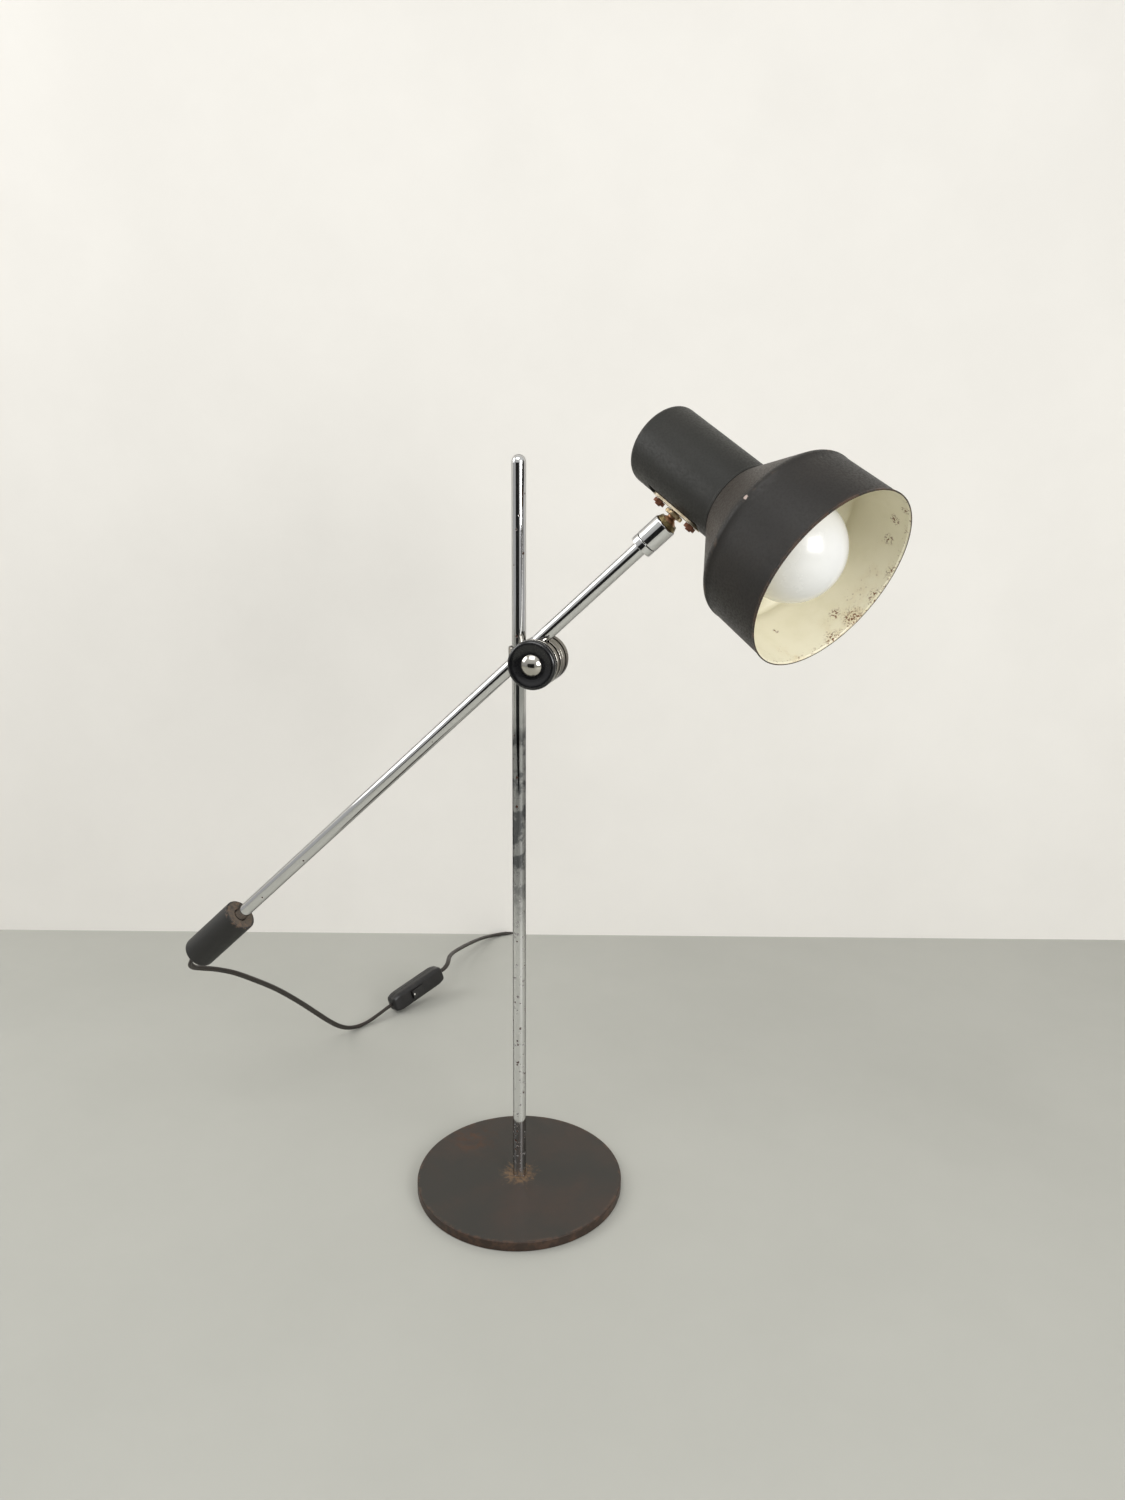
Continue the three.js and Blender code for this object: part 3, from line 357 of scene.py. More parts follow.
def turned(
    name: str, outline: Array, place: Array, turn: int = 96, loop: bool = False, sharp: float = SHARP
) -> Object:
    """Makes a turned piece: the point (u, v) is (r(u) cos v, r(u) sin v, z(u)).

    Args:
        name: Name of the piece.
        outline: Rows [r, z]. Unless it is a loop, its first and last points lie on the axis.
        place: From the piece's frame to the lamp's.
        turn: Faces round the axis.
        loop: Whether the outline closes on itself, as that of a hollow piece does.
        sharp: Edges that turn by more than this many degrees stay sharp.

    Returns:
        The piece.
    """
    rows = np.asarray(outline, float)
    ends = [] if loop else [rows[0, 1], rows[-1, 1]]
    rows = rows if loop else rows[1:-1]
    v = np.linspace(0, 2 * np.pi, turn, endpoint=False)
    r, z = rows[:, :1], rows[:, 1:]
    grid = np.stack([r * np.cos(v), r * np.sin(v), z + 0 * v], axis=2).reshape(-1, 3)
    quads = ring_faces(len(rows), turn, loop)
    if ends:
        first, last = len(grid), len(grid) + 1
        low_ring = np.arange(turn)
        high_ring = low_ring + len(grid) - turn
        grid = np.vstack([grid, [[0, 0, height] for height in ends]])
        bottom = np.stack([np.full(turn, first), np.roll(low_ring, -1), low_ring], axis=1)
        top = np.stack([np.full(turn, last), high_ring, np.roll(high_ring, -1)], axis=1)
        quads += bottom.tolist() + top.tolist()
    return finished(name, grid, quads, place, sharp)


def prism(name: str, corners: Array, low: float, high: float, place: Array) -> Object:
    """Makes a straight prism over a closed outline: the point (u, h) is (x(u), y(u), h).

    Args:
        name: Name of the piece.
        corners: The outline, one row for each corner.
        low: Where it starts along its local Z.
        high: Where it ends.
        place: From the piece's frame to the lamp's.

    Returns:
        The prism.
    """
    count = len(corners)
    points = np.vstack([np.column_stack([corners, np.full(count, height)]) for height in (low, high)])
    around = np.arange(count)
    ahead = np.roll(around, -1)
    sides = np.stack([around, ahead, ahead + count, around + count], axis=1).tolist()
    return finished(name, points, [around[::-1].tolist(), (around + count).tolist(), *sides], place)


def applied(piece: Object) -> Object:
    """Gives a piece the mesh that its modifiers make, and takes the modifiers off.

    Args:
        piece: The piece.

    Returns:
        The same piece.
    """
    bpy.context.view_layer.update()
    result = bpy.data.meshes.new_from_object(piece.evaluated_get(bpy.context.evaluated_depsgraph_get()))
    old = piece.data
    piece.modifiers.clear()
    piece.data = result
    result.name = piece.name
    bpy.data.meshes.remove(old)
    return piece


def carved(piece: Object, *tools: Object, operation: str = "DIFFERENCE") -> Object:
    """Cuts tools out of a piece, or joins them to it, and removes the tools.

    Args:
        piece: The piece that is kept.
        tools: Closed meshes.
        operation: DIFFERENCE, UNION or INTERSECT.

    Returns:
        The piece with its new mesh.
    """
    for tool in tools:
        step = piece.modifiers.new("carve", "BOOLEAN")
        step.operation, step.object, step.solver = operation, tool, "EXACT"
    applied(piece)
    for tool in tools:
        bpy.data.objects.remove(tool)
    smoothed(piece.data, CARVED_SHARP)
    return piece


def bevelled(piece: Object, width: float, steps: int = 3, angle: float = 40.0) -> Object:
    """Rounds the edges of a piece and weights its normals by area.

    Args:
        piece: The piece.
        width: Width of the rounding in millimetres.
        steps: Parts of the rounding.
        angle: Edges that turn by more than this many degrees are rounded.

    Returns:
        The piece with its new mesh.
    """
    edge = piece.modifiers.new("edge", "BEVEL")
    edge.width, edge.segments, edge.limit_method = width * MM, steps, "ANGLE"
    edge.angle_limit = math.radians(angle)
    edge.use_clamp_overlap = True
    light = piece.modifiers.new("light", "WEIGHTED_NORMAL")
    light.keep_sharp = False
    return applied(piece)


def copied(node: str, name: str, width: float, steps: int = 3, angle: float = 40.0) -> Object:
    """Copies a CAD node, merges its loose triangles and rounds its edges.

    Args:
        node: Name of the CAD node.
        name: Name of the new piece.
        width: Width of the rounding in millimetres.
        steps: Parts of the rounding.
        angle: Edges that turn by more than this many degrees are rounded.

    Returns:
        The new piece, which isn't yet said to replace the node.
    """
    shape = bmesh.new()
    shape.from_mesh(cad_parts[node].data)
    bmesh.ops.remove_doubles(shape, verts=shape.verts, dist=1e-6)
    bmesh.ops.dissolve_limit(shape, angle_limit=math.radians(0.5), verts=shape.verts, edges=shape.edges)
    mesh = bpy.data.meshes.new(name)
    shape.to_mesh(mesh)
    shape.free()
    smoothed(mesh, CARVED_SHARP)
    return bevelled(linked(name, mesh), width, steps, angle)


def placed(piece: Object, body: Body, slot: Slot, finish: Material, *nodes: str) -> Object:
    """Dresses a piece, lets it ride on its body and stand for its CAD nodes.

    Args:
        piece: The new piece.
        body: The body that it moves with.
        slot: The record's slot that its finish belongs to. Not used.
        finish: Its material.
        nodes: The CAD nodes that it replaces.

    Returns:
        The piece.
    """
    piece.data.materials.clear()
    piece.data.materials.append(finish)
    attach(piece, body.value)
    if nodes:
        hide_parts(*nodes)
    LOG.info("%s rides on %s", piece.name, body.value)
    return piece


# Lead


def spline(points: Array, step: float, parts: int = 24) -> Array:
    """Points at equal steps on the centripetal Catmull-Rom curve through a route.

    Between P1 and P2 the curve is a cubic Hermite, worked out in so many parts, whose end slopes are those
    of the non-uniform Catmull-Rom spline with knots a square root of the distance apart. The ends are
    continued in a straight line.

    Args:
        points: The route, one row for each point.
        step: The distance between the points that come back.
        parts: Parts of each stretch while it is worked out.

    Returns:
        The curve, one row for each point.
    """
    route = np.asarray(points, float)
    whole = np.vstack([2 * route[0] - route[1], route, 2 * route[-1] - route[-2]])
    knots = np.sqrt(np.linalg.norm(np.diff(whole, axis=0), axis=1))[:, None]
    before, span, after = knots[:-2], knots[1:-1], knots[2:]
    p0, p1, p2, p3 = whole[:-3], whole[1:-2], whole[2:-1], whole[3:]
    first = ((p1 - p0) / before - (p2 - p0) / (before + span) + (p2 - p1) / span) * span
    second = ((p2 - p1) / span - (p3 - p1) / (span + after) + (p3 - p2) / after) * span
    t = np.linspace(0, 1, parts, endpoint=False)[None, :, None]
    a, b = p1[:, None], first[:, None]
    c = (-3 * p1 + 3 * p2 - 2 * first - second)[:, None]
    d = (2 * p1 - 2 * p2 + first + second)[:, None]
    dense = np.vstack([(a + b * t + c * t**2 + d * t**3).reshape(-1, 3), route[-1:]])
    return evenly(dense, step)


def evenly(line: Array, step: float) -> Array:
    """Points at equal steps along a line of points.

    Args:
        line: The line.
        step: The most between two new points.

    Returns:
        The new points.
    """
    run = run_of(line)
    count = max(2, math.ceil(run[-1] / step) + 1)
    places = np.linspace(0, run[-1], count)
    return np.stack([np.interp(places, run, line[:, k]) for k in range(3)], axis=1)


def run_of(line: Array) -> Array:
    """How far along a line each of its points is."""
    return np.concatenate([[0], np.cumsum(np.linalg.norm(np.diff(line, axis=0), axis=1))])


@dataclass
class TwinFlex:
    """The flat two-core lead: two round cores side by side, with a groove between them."""

    core_radius: float = 1.65
    core_spacing: float = 1.7
    arc_points: int = 9

    @property
    def width(self) -> float:
        """Width across both cores."""
        return self.core_spacing + 2 * self.core_radius

    def section(self) -> Array:
        """The outline across the lead: an arc round each core, which meet in the groove.

        Returns:
            Rows [across, over].
        """
        half = self.core_spacing / 2
        open_angle = math.pi - math.acos(half / self.core_radius)
        angles = np.linspace(-open_angle, open_angle, self.arc_points)
        across = half + self.core_radius * np.cos(angles)
        right = np.stack([across, self.core_radius * np.sin(angles)], axis=1)
        return np.vstack([right[:-1], -right[:-1]])

    def tube(self, name: str, line: Array, lean: float = 0.0) -> Object:
        """Carries the section along a line, its width leaning from the level by the same angle all along.

        The point (u, w) is line(u) + x(w) side(u) + y(w) over(u), where side is square to the line and
        leans from the level, and over is square to both.

        Args:
            name: Name of the piece.
            line: The route, one row for each point.
            lean: Degrees between the width and the level.

        Returns:
            The lead as a closed mesh.
        """
        along = np.gradient(line, axis=0)
        along /= np.linalg.norm(along, axis=1, keepdims=True)
        side = np.cross(along, [0.0, 0.0, 1.0])
        side /= np.linalg.norm(side, axis=1, keepdims=True)
        over = np.cross(side, along)
        c, s = math.cos(math.radians(lean)), math.sin(math.radians(lean))
        side, over = c * side + s * over, c * over - s * side
        section = self.section()
        rings = (line[:, None] + section[None, :, :1] * side[:, None]
                 + section[None, :, 1:] * over[:, None])
        faces = tube_faces(len(line), len(section))
        return finished(name, rings.reshape(-1, 3), faces, np.eye(4), sharp=60)


@dataclass
class Lead:
    """The lead from the counterweight, by the inline switch, over the floor to its coil and the plug."""

    flex: TwinFlex = field(default_factory=TwinFlex)
    solid_radius: float = 2.5
    lean: float = 52.0
    step: float = 2.5
    coil_centre: tuple[float, float] = (-134.6, 512.6)
    coil_heading: float = 15.25
    coil_radius: float = 35.75
    coil_pitch: float = 5.5
    coil_turns: int = 3
    coil_first_height: float = 2.6
    coil_lead: float = 42.0
    plug_height: float = 6.95
    coil_parts: int = 24
    floor_gap: float = 0.1
    free_above: float = 12.0
    fade_over: float = 8.0
    hanging_cuts: tuple[float, ...] = (0, 0.26, 0.5, 0.74, 1)
    tie_width: float = 5.0
    tie_margin: float = 0.9
    tie_inner: float = 0.9
    tie_room: float = 1.0
    tie_lift: float = 0.15
    tie_low: float = 0.05
    tie_turn: float = 60.0
    tie_points: int = 48
    hanging: Array = field(default_factory=lambda: np.array([
        [-276.1, -14.5, 170.8], [-279.8, -14.5, 167.4], [-284, -12, 161], [-286, -5, 154.5], [-285, 5, 149],
        [-280.5, 17, 143], [-273.5, 32, 134], [-266, 53, 118], [-259.5, 79, 97], [-254, 110, 69],
        [-250, 136, 44], [-247, 155, 26], [-244.5, 170, 13.5], [-241, 182, 6], [-236, 192.5, 2.8],
        [-230, 203, 3.2], [-224, 216, 5.6], [-218.7, 227.6, 8.5], [-216.3, 232.2, 9.6],
    ]))
    on_floor: Array = field(default_factory=lambda: np.array([
        [-183.6, 291.7, 25.6], [-181.3, 296, 26.7], [-180.6, 304, 27.8], [-182.4, 313, 27.6],
        [-185.6, 323, 26.2], [-188.4, 335, 24.2], [-189.6, 350, 21.6], [-188.4, 373, 17.6],
        [-185.2, 402, 12.2], [-181.2, 427, 7.4], [-176.2, 442, 4.4], [-169.5, 452, 3], [-161, 459.5, 2.6],
        [-151, 466.5, 2.6], [-142.5, 472.2, 2.6], [-136.4, 475.1, 2.6], [-130.5, 476.7, 2.6],
    ]))

    def lowered(self, line: Array) -> Array:
        """Lets the flat lead lie on the floor.

        A low point goes down by what the solid's radius exceeds the lead's half thickness. Higher up the
        drop eases out by the smooth step.

        Args:
            line: The route of the solid lead.

        Returns:
            The route of the flat one.
        """
        sink = self.solid_radius - self.flex.core_radius - self.floor_gap
        fade = np.clip((self.free_above - line[:, 2]) / self.fade_over, 0, 1)
        result = line.copy()
        result[:, 2] -= sink * fade * fade * (3 - 2 * fade)
        return result

    def coil(self) -> Array:
        """The coil's centreline: turns inwards, one rise, turns outwards, and the straight end to the plug.

        Turn n has the radius R - p n while it winds inwards and the same back outwards one layer higher.

        Returns:
            One row for each point.
        """
        each = self.coil_parts
        layer, climb = self.coil_turns * each, each // 2
        total = 2 * layer + climb
        i = np.arange(total + 1)
        inward = np.minimum(i, total - i) / each
        radius = self.coil_radius - self.coil_pitch * inward
        rise = np.clip((i - layer) / climb, 0, 1)
        angle = math.radians(self.coil_heading - 90) + 2 * np.pi * i / each
        height = self.coil_first_height + self.coil_pitch * rise
        x, y = self.coil_centre
        loops = np.stack([x + radius * np.cos(angle), y + radius * np.sin(angle), height], axis=1)
        along = math.radians(self.coil_heading)
        heading = np.array([math.cos(along), math.sin(along), 0])
        shares = np.array([0.14, 0.3, 0.5, 0.7, 0.88, 1])[:, None]
        end = loops[-1] - heading * self.coil_lead * shares
        ease = shares[:, 0] ** 2 * (3 - 2 * shares[:, 0])
        flat = self.flattened(loops)
        end[:, 2] = flat[-1, 2] + (self.plug_height - flat[-1, 2]) * ease
        return np.vstack([flat, end])

    def flattened(self, line: Array) -> Array:
        """Brings the coil's layers together to the flat lead's thickness, the lowest one on the floor.

        Args:
            line: The route of the solid coil.

        Returns:
            The route of the flat one.
        """
        thickness = 2 * self.flex.core_radius
        layer = thickness + self.floor_gap
        above = line[:, 2] - self.coil_first_height
        result = line.copy()
        result[:, 2] = thickness / 2 + self.floor_gap + above * layer / self.coil_pitch
        return result

    def build(self, finish: Material, tie: Material) -> None:
        """Makes every stretch of the lead.

        Args:
            finish: Material of the lead.
            tie: Material of the band that holds the coil.
        """
        whole = spline(self.hanging, self.step)
        cuts = [round(share * (len(whole) - 1)) for share in self.hanging_cuts]
        links = [(Body.ARM, Body.JAWS), (Body.JAWS, Body.CLAMP), (Body.CLAMP, Body.COLUMN),
                 (Body.COLUMN, Body.BASE)]
        for number, (first, last, (upper, lower)) in enumerate(zip(cuts[:-1], cuts[1:], links), start=1):
            line = whole[first:last + 1]
            piece = self.flex.tube(f"lead_hanging_{number}", line, self.lean)
            piece.data.materials.append(finish)
            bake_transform(piece)
            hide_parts("cord_hanging")
            LOG.info("%s bends between %s and %s", piece.name, upper.value, lower.value)
        floor = self.lowered(spline(self.on_floor, self.step))
        line = evenly(np.vstack([floor[:-1], self.coil()]), self.step)
        piece = self.flex.tube("lead_to_plug", line)
        placed(piece, Body.BASE, Slot.RUBBER, finish, "cord_floor", "cord_coil")
        self.tie(tie)

    def tie(self, finish: Material) -> Object:
        """A flat band round the bundle of turns: a rounded rectangle carried round as a ring.

        The ring's section is thin. Its path is x = a cos v, z = b sin v with both waves squared, round the
        middle of the bundle.

        Args:
            finish: Its material.

        Returns:
            The band.
        """
        middle = self.coil_radius - self.coil_pitch * self.coil_turns / 2
        wide = self.coil_pitch * self.coil_turns / 2 + self.flex.width / 2 + self.tie_room
        high = 2 * self.flex.core_radius + self.tie_margin
        angle = np.linspace(0, 2 * np.pi, self.tie_points + 1)[:-1]
        x, z = wide * squared(np.cos(angle), 0.5), high * squared(np.sin(angle), 0.5)
        half = self.tie_width / 2
        rows = []
        for reach, across in ((1.0, -half), (1.0, half), (self.tie_inner, half), (self.tie_inner, -half)):
            path = [middle + x * reach, np.full_like(x, across), high + self.tie_lift + z * reach]
            rows.append(np.stack(path, axis=1))
        grid = np.stack(rows)
        grid[..., 2] = np.maximum(grid[..., 2], self.tie_low)
        faces = ring_faces(len(grid), self.tie_points, loop=True)
        place = shifted(*self.coil_centre) @ rotated(z=self.tie_turn)
        piece = finished("coil_tie", grid.reshape(-1, 3), faces, place)
        return placed(piece, Body.BASE, Slot.RUBBER, finish)


# Shader groups


Socket = bpy.types.NodeSocket


class Tree:
    """Adds nodes to one shader tree and links them."""

    def __init__(self, tree: bpy.types.NodeTree) -> None:
        """Starts with an empty tree."""
        self.tree = tree
        tree.nodes.clear()

    def feed(self, target: Socket, value: object) -> None:
        """Links a socket to an input, or sets the input's own value.

        Args:
            target: The input.
            value: A socket or a value.
        """
        if isinstance(value, bpy.types.NodeSocket):
            self.tree.links.new(value, target)
        else:
            target.default_value = value

    def set(self, node: bpy.types.Node, name: str, value: object) -> None:
        """Feeds a node's input by its name."""
        self.feed(next(socket for socket in node.inputs if socket.name == name and socket.enabled), value)

    def add(self, kind: str, settings: dict[str, object] | None = None, **inputs: object) -> bpy.types.Node:
        """Adds a node.

        Args:
            kind: The node's class, without ShaderNode.
            settings: Values of its own properties.
            inputs: Values or sockets for its inputs, by name, with underscores for spaces.

        Returns:
            The node.
        """
        node = self.tree.nodes.new(f"ShaderNode{kind}")
        for name, value in (settings or {}).items():
            setattr(node, name, value)
        for name, value in inputs.items():
            self.set(node, name.replace("_", " "), value)
        return node

    def fed(self, kind: str, settings: dict[str, object], *values: object) -> bpy.types.Node:
        """Adds a node and feeds its first inputs in their order.

        Args:
            kind: The node's class, without ShaderNode.
            settings: Values of its own properties.
            values: Values or sockets for its first inputs.

        Returns:
            The node.
        """
        node = self.add(kind, settings)
        for socket, value in zip(node.inputs, values):
            self.feed(socket, value)
        return node

    def maths(self, operation: str, first: object, second: object = 0.0) -> Socket:
        """A Math node on two values."""
        return self.fed("Math", {"operation": operation}, first, second).outputs[0]

    def vector(
        self, operation: str, first: object, second: object = (0.0, 0.0, 0.0), output: int = 0
    ) -> Socket:
        """A Vector Math node on two vectors."""
        return self.fed("VectorMath", {"operation": operation}, first, second).outputs[output]

    def ramp(self, value: Socket, low: object, high: object) -> Socket:
        """0 below low, 1 above high, smooth in between."""
        return self.fed("MapRange", {"interpolation_type": "SMOOTHSTEP"}, value, low, high).outputs[0]

    def mix(self, share: object, first: object, second: object) -> Socket:
        """A mix of two colours.

        Args:
            share: Share of the second colour.
            first: The first colour.
            second: The second.

        Returns:
            The mixed colour.
        """
        node = self.fed("Mix", {"data_type": "RGBA"}, share)
        for socket, item in ((node.inputs[6], first), (node.inputs[7], second)):
            self.feed(socket, (*item, 1.0) if isinstance(item, tuple) else item)
        return node.outputs[2]


class Effects:
    """The shader groups that the finishes share. Each is built once."""

    def __init__(self) -> None:
        """Builds every group."""
        self.mottle = self.build_mottle()
        self.specks = self.build_specks()
        self.scuffs = self.build_scuffs()
        self.near = self.build_distance("Along axis", around=False)
        self.around = self.build_distance("From axis", around=True)
        self.grain = self.build_grain()

    @staticmethod
    def start(
        name: str, inputs: dict[str, object], outputs: Sequence[str]
    ) -> tuple[Tree, bpy.types.NodeOutputs, bpy.types.Node]:
        """Makes an empty group whose first input is Position.

        Args:
            name: The group's name.
            inputs: Default value of each further input, by name. A tuple makes a vector.
            outputs: Name of each output.

        Returns:
            The tree, its input node's sockets and its output node.
        """
        group = bpy.data.node_groups.new(name, "ShaderNodeTree")
        for title, value in {"Position": (0.0, 0.0, 0.0), **inputs}.items():
            kind = "NodeSocketVector" if isinstance(value, tuple) else "NodeSocketFloat"
            socket = group.interface.new_socket(name=title, in_out="INPUT", socket_type=kind)
            socket.default_value = value
        for title in outputs:
            group.interface.new_socket(name=title, in_out="OUTPUT", socket_type="NodeSocketFloat")
        tree = Tree(group)
        return tree, group.nodes.new("NodeGroupInput").outputs, group.nodes.new("NodeGroupOutput")

    def build_mottle(self) -> bpy.types.NodeTree:
        """Soft uneven patches: fractal noise between two thresholds.

        Returns:
            The group, with a mask.
        """
        tree, given, result = self.start(
            "Mottle", {"Scale": 60.0, "Low": 0.4, "High": 0.6, "Detail": 5.0}, ["Mask"])
        noise = tree.add("TexNoise", Vector=given["Position"], Scale=given["Scale"],
                         Detail=given["Detail"], Roughness=0.62)
        tree.feed(result.inputs[0], tree.ramp(noise.outputs[0], given["Low"], given["High"]))
        return tree.tree

    def build_specks(self) -> bpy.types.NodeTree:
        """Small round spots: Voronoi cells whose random value passes a threshold, each of its own size.

        Returns:
            The group, with a mask.
        """
        tree, given, result = self.start("Specks", {"Scale": 400.0, "Share": 0.1, "Size": 0.3}, ["Mask"])
        wobble = tree.add("TexNoise", Vector=given["Position"], Scale=900.0, Detail=2.0)
        shift = tree.vector("SCALE", wobble.outputs[1])
        shift.node.inputs["Scale"].default_value = 0.0006
        place = tree.vector("ADD", given["Position"], shift)
        cell = tree.add("TexVoronoi", {"feature": "F1"}, Vector=place, Scale=given["Scale"])
        chosen = tree.fed("SeparateColor", {}, cell.outputs["Color"])
        kept = tree.maths("LESS_THAN", chosen.outputs[0], given["Share"])
        radius = tree.maths("MULTIPLY", given["Size"], tree.maths("ADD", 0.35, chosen.outputs[1]))
        inside = tree.ramp(tree.maths("SUBTRACT", radius, cell.outputs["Distance"]), 0.0, 0.08)
        tree.feed(result.inputs[0], tree.maths("MULTIPLY", kept, inside))
        return tree.tree

    def build_scuffs(self) -> bpy.types.NodeTree:
        """Fine scratches: noise on coordinates stretched along one direction, kept where it is high.

        Returns:
            The group, with a mask.
        """
        tree, given, result = self.start("Scuffs", {"Stretch": (900.0, 900.0, 30.0), "Share": 0.6}, ["Mask"])
        place = tree.vector("MULTIPLY", given["Position"], given["Stretch"])
        noise = tree.add("TexNoise", Vector=place, Scale=1.0, Detail=4.0, Roughness=0.7)
        full = tree.maths("ADD", given["Share"], 0.08)
        tree.feed(result.inputs[0], tree.ramp(noise.outputs[0], given["Share"], full))
        return tree.tree

    def build_distance(self, name: str, around: bool) -> bpy.types.NodeTree:
        """How far a point lies from a line through an origin, or along that line.

        Args:
            name: The group's name.
            around: Whether the distance is the one from the line.

        Returns:
            The group, with a mask from one distance to another and the distance itself.
        """
        tree, given, result = self.start(
            name, {"Origin": (0.0, 0.0, 0.0), "Axis": (0.0, 0.0, 1.0), "From": 0.0, "To": 0.1},
            ["Mask", "Distance"])
        offset = tree.vector("SUBTRACT", given["Position"], given["Origin"])
        if around:
            distance = tree.vector("LENGTH", tree.vector("CROSS_PRODUCT", offset, given["Axis"]), output=1)
        else:
            distance = tree.vector("DOT_PRODUCT", offset, given["Axis"], output=1)
        tree.feed(result.inputs[0], tree.ramp(distance, given["From"], given["To"]))
        tree.feed(result.inputs[1], distance)
        return tree.tree

    def build_grain(self) -> bpy.types.NodeTree:
        """The fine roughness of a sprayed or moulded surface, as a height.

        Returns:
            The group, with a height.
        """
        tree, given, result = self.start("Grain", {"Scale": 1500.0, "Coarse": 0.3}, ["Height"])
        fine = tree.add("TexNoise", Vector=given["Position"], Scale=given["Scale"], Detail=3.0)
        wide = tree.add("TexNoise", Vector=given["Position"], Detail=2.0,
                        Scale=tree.maths("MULTIPLY", given["Scale"], 0.12))
        coarse = tree.maths("MULTIPLY", wide.outputs[0], given["Coarse"])
        tree.feed(result.inputs[0], tree.maths("ADD", fine.outputs[0], coarse))
        return tree.tree


EFFECTS = Effects()


class Surface(Tree):
    """One material in the making: its tree, its position socket and its Principled shader."""

    def __init__(self, name: str, **plain: object) -> None:
        """Starts a material.

        Args:
            name: The material's name.
            plain: Values that are the same all over, set on the shader's own sockets.
        """
        self.material = bpy.data.materials.new(name)
        self.material.use_nodes = True
        super().__init__(self.material.node_tree)
        self.shader = self.add("BsdfPrincipled", **plain)
        self.output = self.add("OutputMaterial", Surface=self.shader.outputs[0])
        self.position = self.add("TexCoord").outputs["Object"]

    def effect(self, group: bpy.types.NodeTree, output: int = 0, **inputs: object) -> Socket:
        """Places a shader group, its Position fed by Object coordinates.

        Args:
            group: The group.
            output: Number of the output that comes back.
            inputs: Values or sockets for its other inputs, by name.

        Returns:
            The output.
        """
        node = self.tree.nodes.new("ShaderNodeGroup")
        node.node_tree = group
        for name, value in {"Position": self.position, **inputs}.items():
            self.set(node, name, value)
        return node.outputs[output]

    def mottle(self, scale: float, low: float, high: float, detail: float = 5.0) -> Socket:
        """Soft patches, from 0 where the noise is below low to 1 where it is above high."""
        return self.effect(EFFECTS.mottle, Scale=scale, Low=low, High=high, Detail=detail)

    def specks(self, scale: float, share: float, size: float) -> Socket:
        """Round spots in a share of the cells, each up to a size of its cell."""
        return self.effect(EFFECTS.specks, Scale=scale, Share=share, Size=size)

    def colour(self, value: Socket) -> None:
        """Feeds Base Color."""
        self.set(self.shader, "Base Color", value)

    def rough(self, low: float, high: float, share: Socket) -> None:
        """Feeds Roughness with a value between low and high."""
        span = self.maths("MULTIPLY", share, high - low)
        self.set(self.shader, "Roughness", self.maths("ADD", span, low))

    def metal(self, bare: Socket) -> None:
        """Feeds Metallic."""
        self.set(self.shader, "Metallic", bare)

    def bump(self, height: Socket, strength: float, distance: float) -> None:
        """Feeds Normal with a bump, distance in metres."""
        node = self.add("Bump", Height=height, Strength=strength, Distance=distance)
        self.set(self.shader, "Normal", node.outputs[0])

    def either(self, first: Socket, second: Socket) -> Socket:
        """The larger of two masks."""
        return self.maths("MAXIMUM", first, second)

    def both(self, first: Socket, *others: object) -> Socket:
        """The product of masks or shares.

        Args:
            first: The first.
            others: The others.

        Returns:
            The product.
        """
        for other in others:
            first = self.maths("MULTIPLY", first, other)
        return first

    def rest(self, mask: Socket) -> Socket:
        """One less a mask."""
        return self.maths("SUBTRACT", 1.0, mask)


def linear(red: int, green: int, blue: int) -> Colour:
    """A screen colour of three values from 0 to 255 as linear light.

    Args:
        red: Its red.
        green: Its green.
        blue: Its blue.

    Returns:
        The three as light.
    """
    share = np.array([red, green, blue]) / 255
    light = np.where(share <= 0.04045, share / 12.92, ((share + 0.055) / 1.055) ** 2.4)
    return float(light[0]), float(light[1]), float(light[2])


RUST = linear(112, 66, 38)
DARK_RUST = linear(62, 38, 26)


# Finishes


@dataclass(frozen=True)
class Chrome:
    """Chromium plate, brightest where it is clean, with rust pits and a painted dark reflection."""

    name: str
    colour: Colour = linear(224, 224, 223)
    roughness: float = 0.045
    pit_share: float = 0.02
    pit_scale: float = 500.0
    pit_size: float = 0.35
    worn_below: float = -10.0
    wear_and_reflection_top: float = -9.0
    hazy: Colour = linear(168, 165, 160)
    # Painted reflection: the grey laid on the chrome in a band just below the top height
    painted_reflection_tone: Colour = linear(74, 76, 80)

    def material(self) -> Material:
        """Plate with fine scuffs, dark at grazing angles. Pits thicken below a height in metres.

        Returns:
            The material.
        """
        made = Surface(self.name, Specular_Tint=(0.16, 0.16, 0.17, 1.0))
        scuff = made.effect(EFFECTS.scuffs, Share=0.6)
        haze = made.mottle(90.0, 0.45, 0.75)
        low = made.rest(made.effect(EFFECTS.near, From=self.worn_below, To=self.wear_and_reflection_top))
        pits = made.specks(self.pit_scale, self.pit_share, self.pit_size)
        many = made.specks(self.pit_scale * 1.1, 0.3, 0.46)
        peel_and_reflection_mottle = made.mottle(110.0, 0.4, 0.55, 3.0)
        worn = made.both(low, made.both(many, peel_and_reflection_mottle))
        spots = made.either(pits, worn)
        mixed = made.mix(made.both(haze, 0.1), self.colour, self.hazy)
        # Painted reflection: a mottled grey band just under the top height
        below = made.rest(made.effect(EFFECTS.near, From=self.wear_and_reflection_top - 0.03, To=self.wear_and_reflection_top))
        above = made.effect(EFFECTS.near, From=self.wear_and_reflection_top - 0.2, To=self.wear_and_reflection_top - 0.12)
        reflection_band = made.both(below, above, made.rest(made.both(peel_and_reflection_mottle, 0.4)))
        mixed = made.mix(made.both(reflection_band, 0.9), mixed, self.painted_reflection_tone)
        made.colour(made.mix(spots, mixed, DARK_RUST))
        made.metal(made.rest(spots))
        rough = made.either(made.both(scuff, 0.05), made.both(made.either(spots, made.both(haze, 0.05)), 0.8))
        made.rough(self.roughness, 0.85, rough)
        made.bump(made.rest(spots), 0.35, 0.0003)
        return made.material


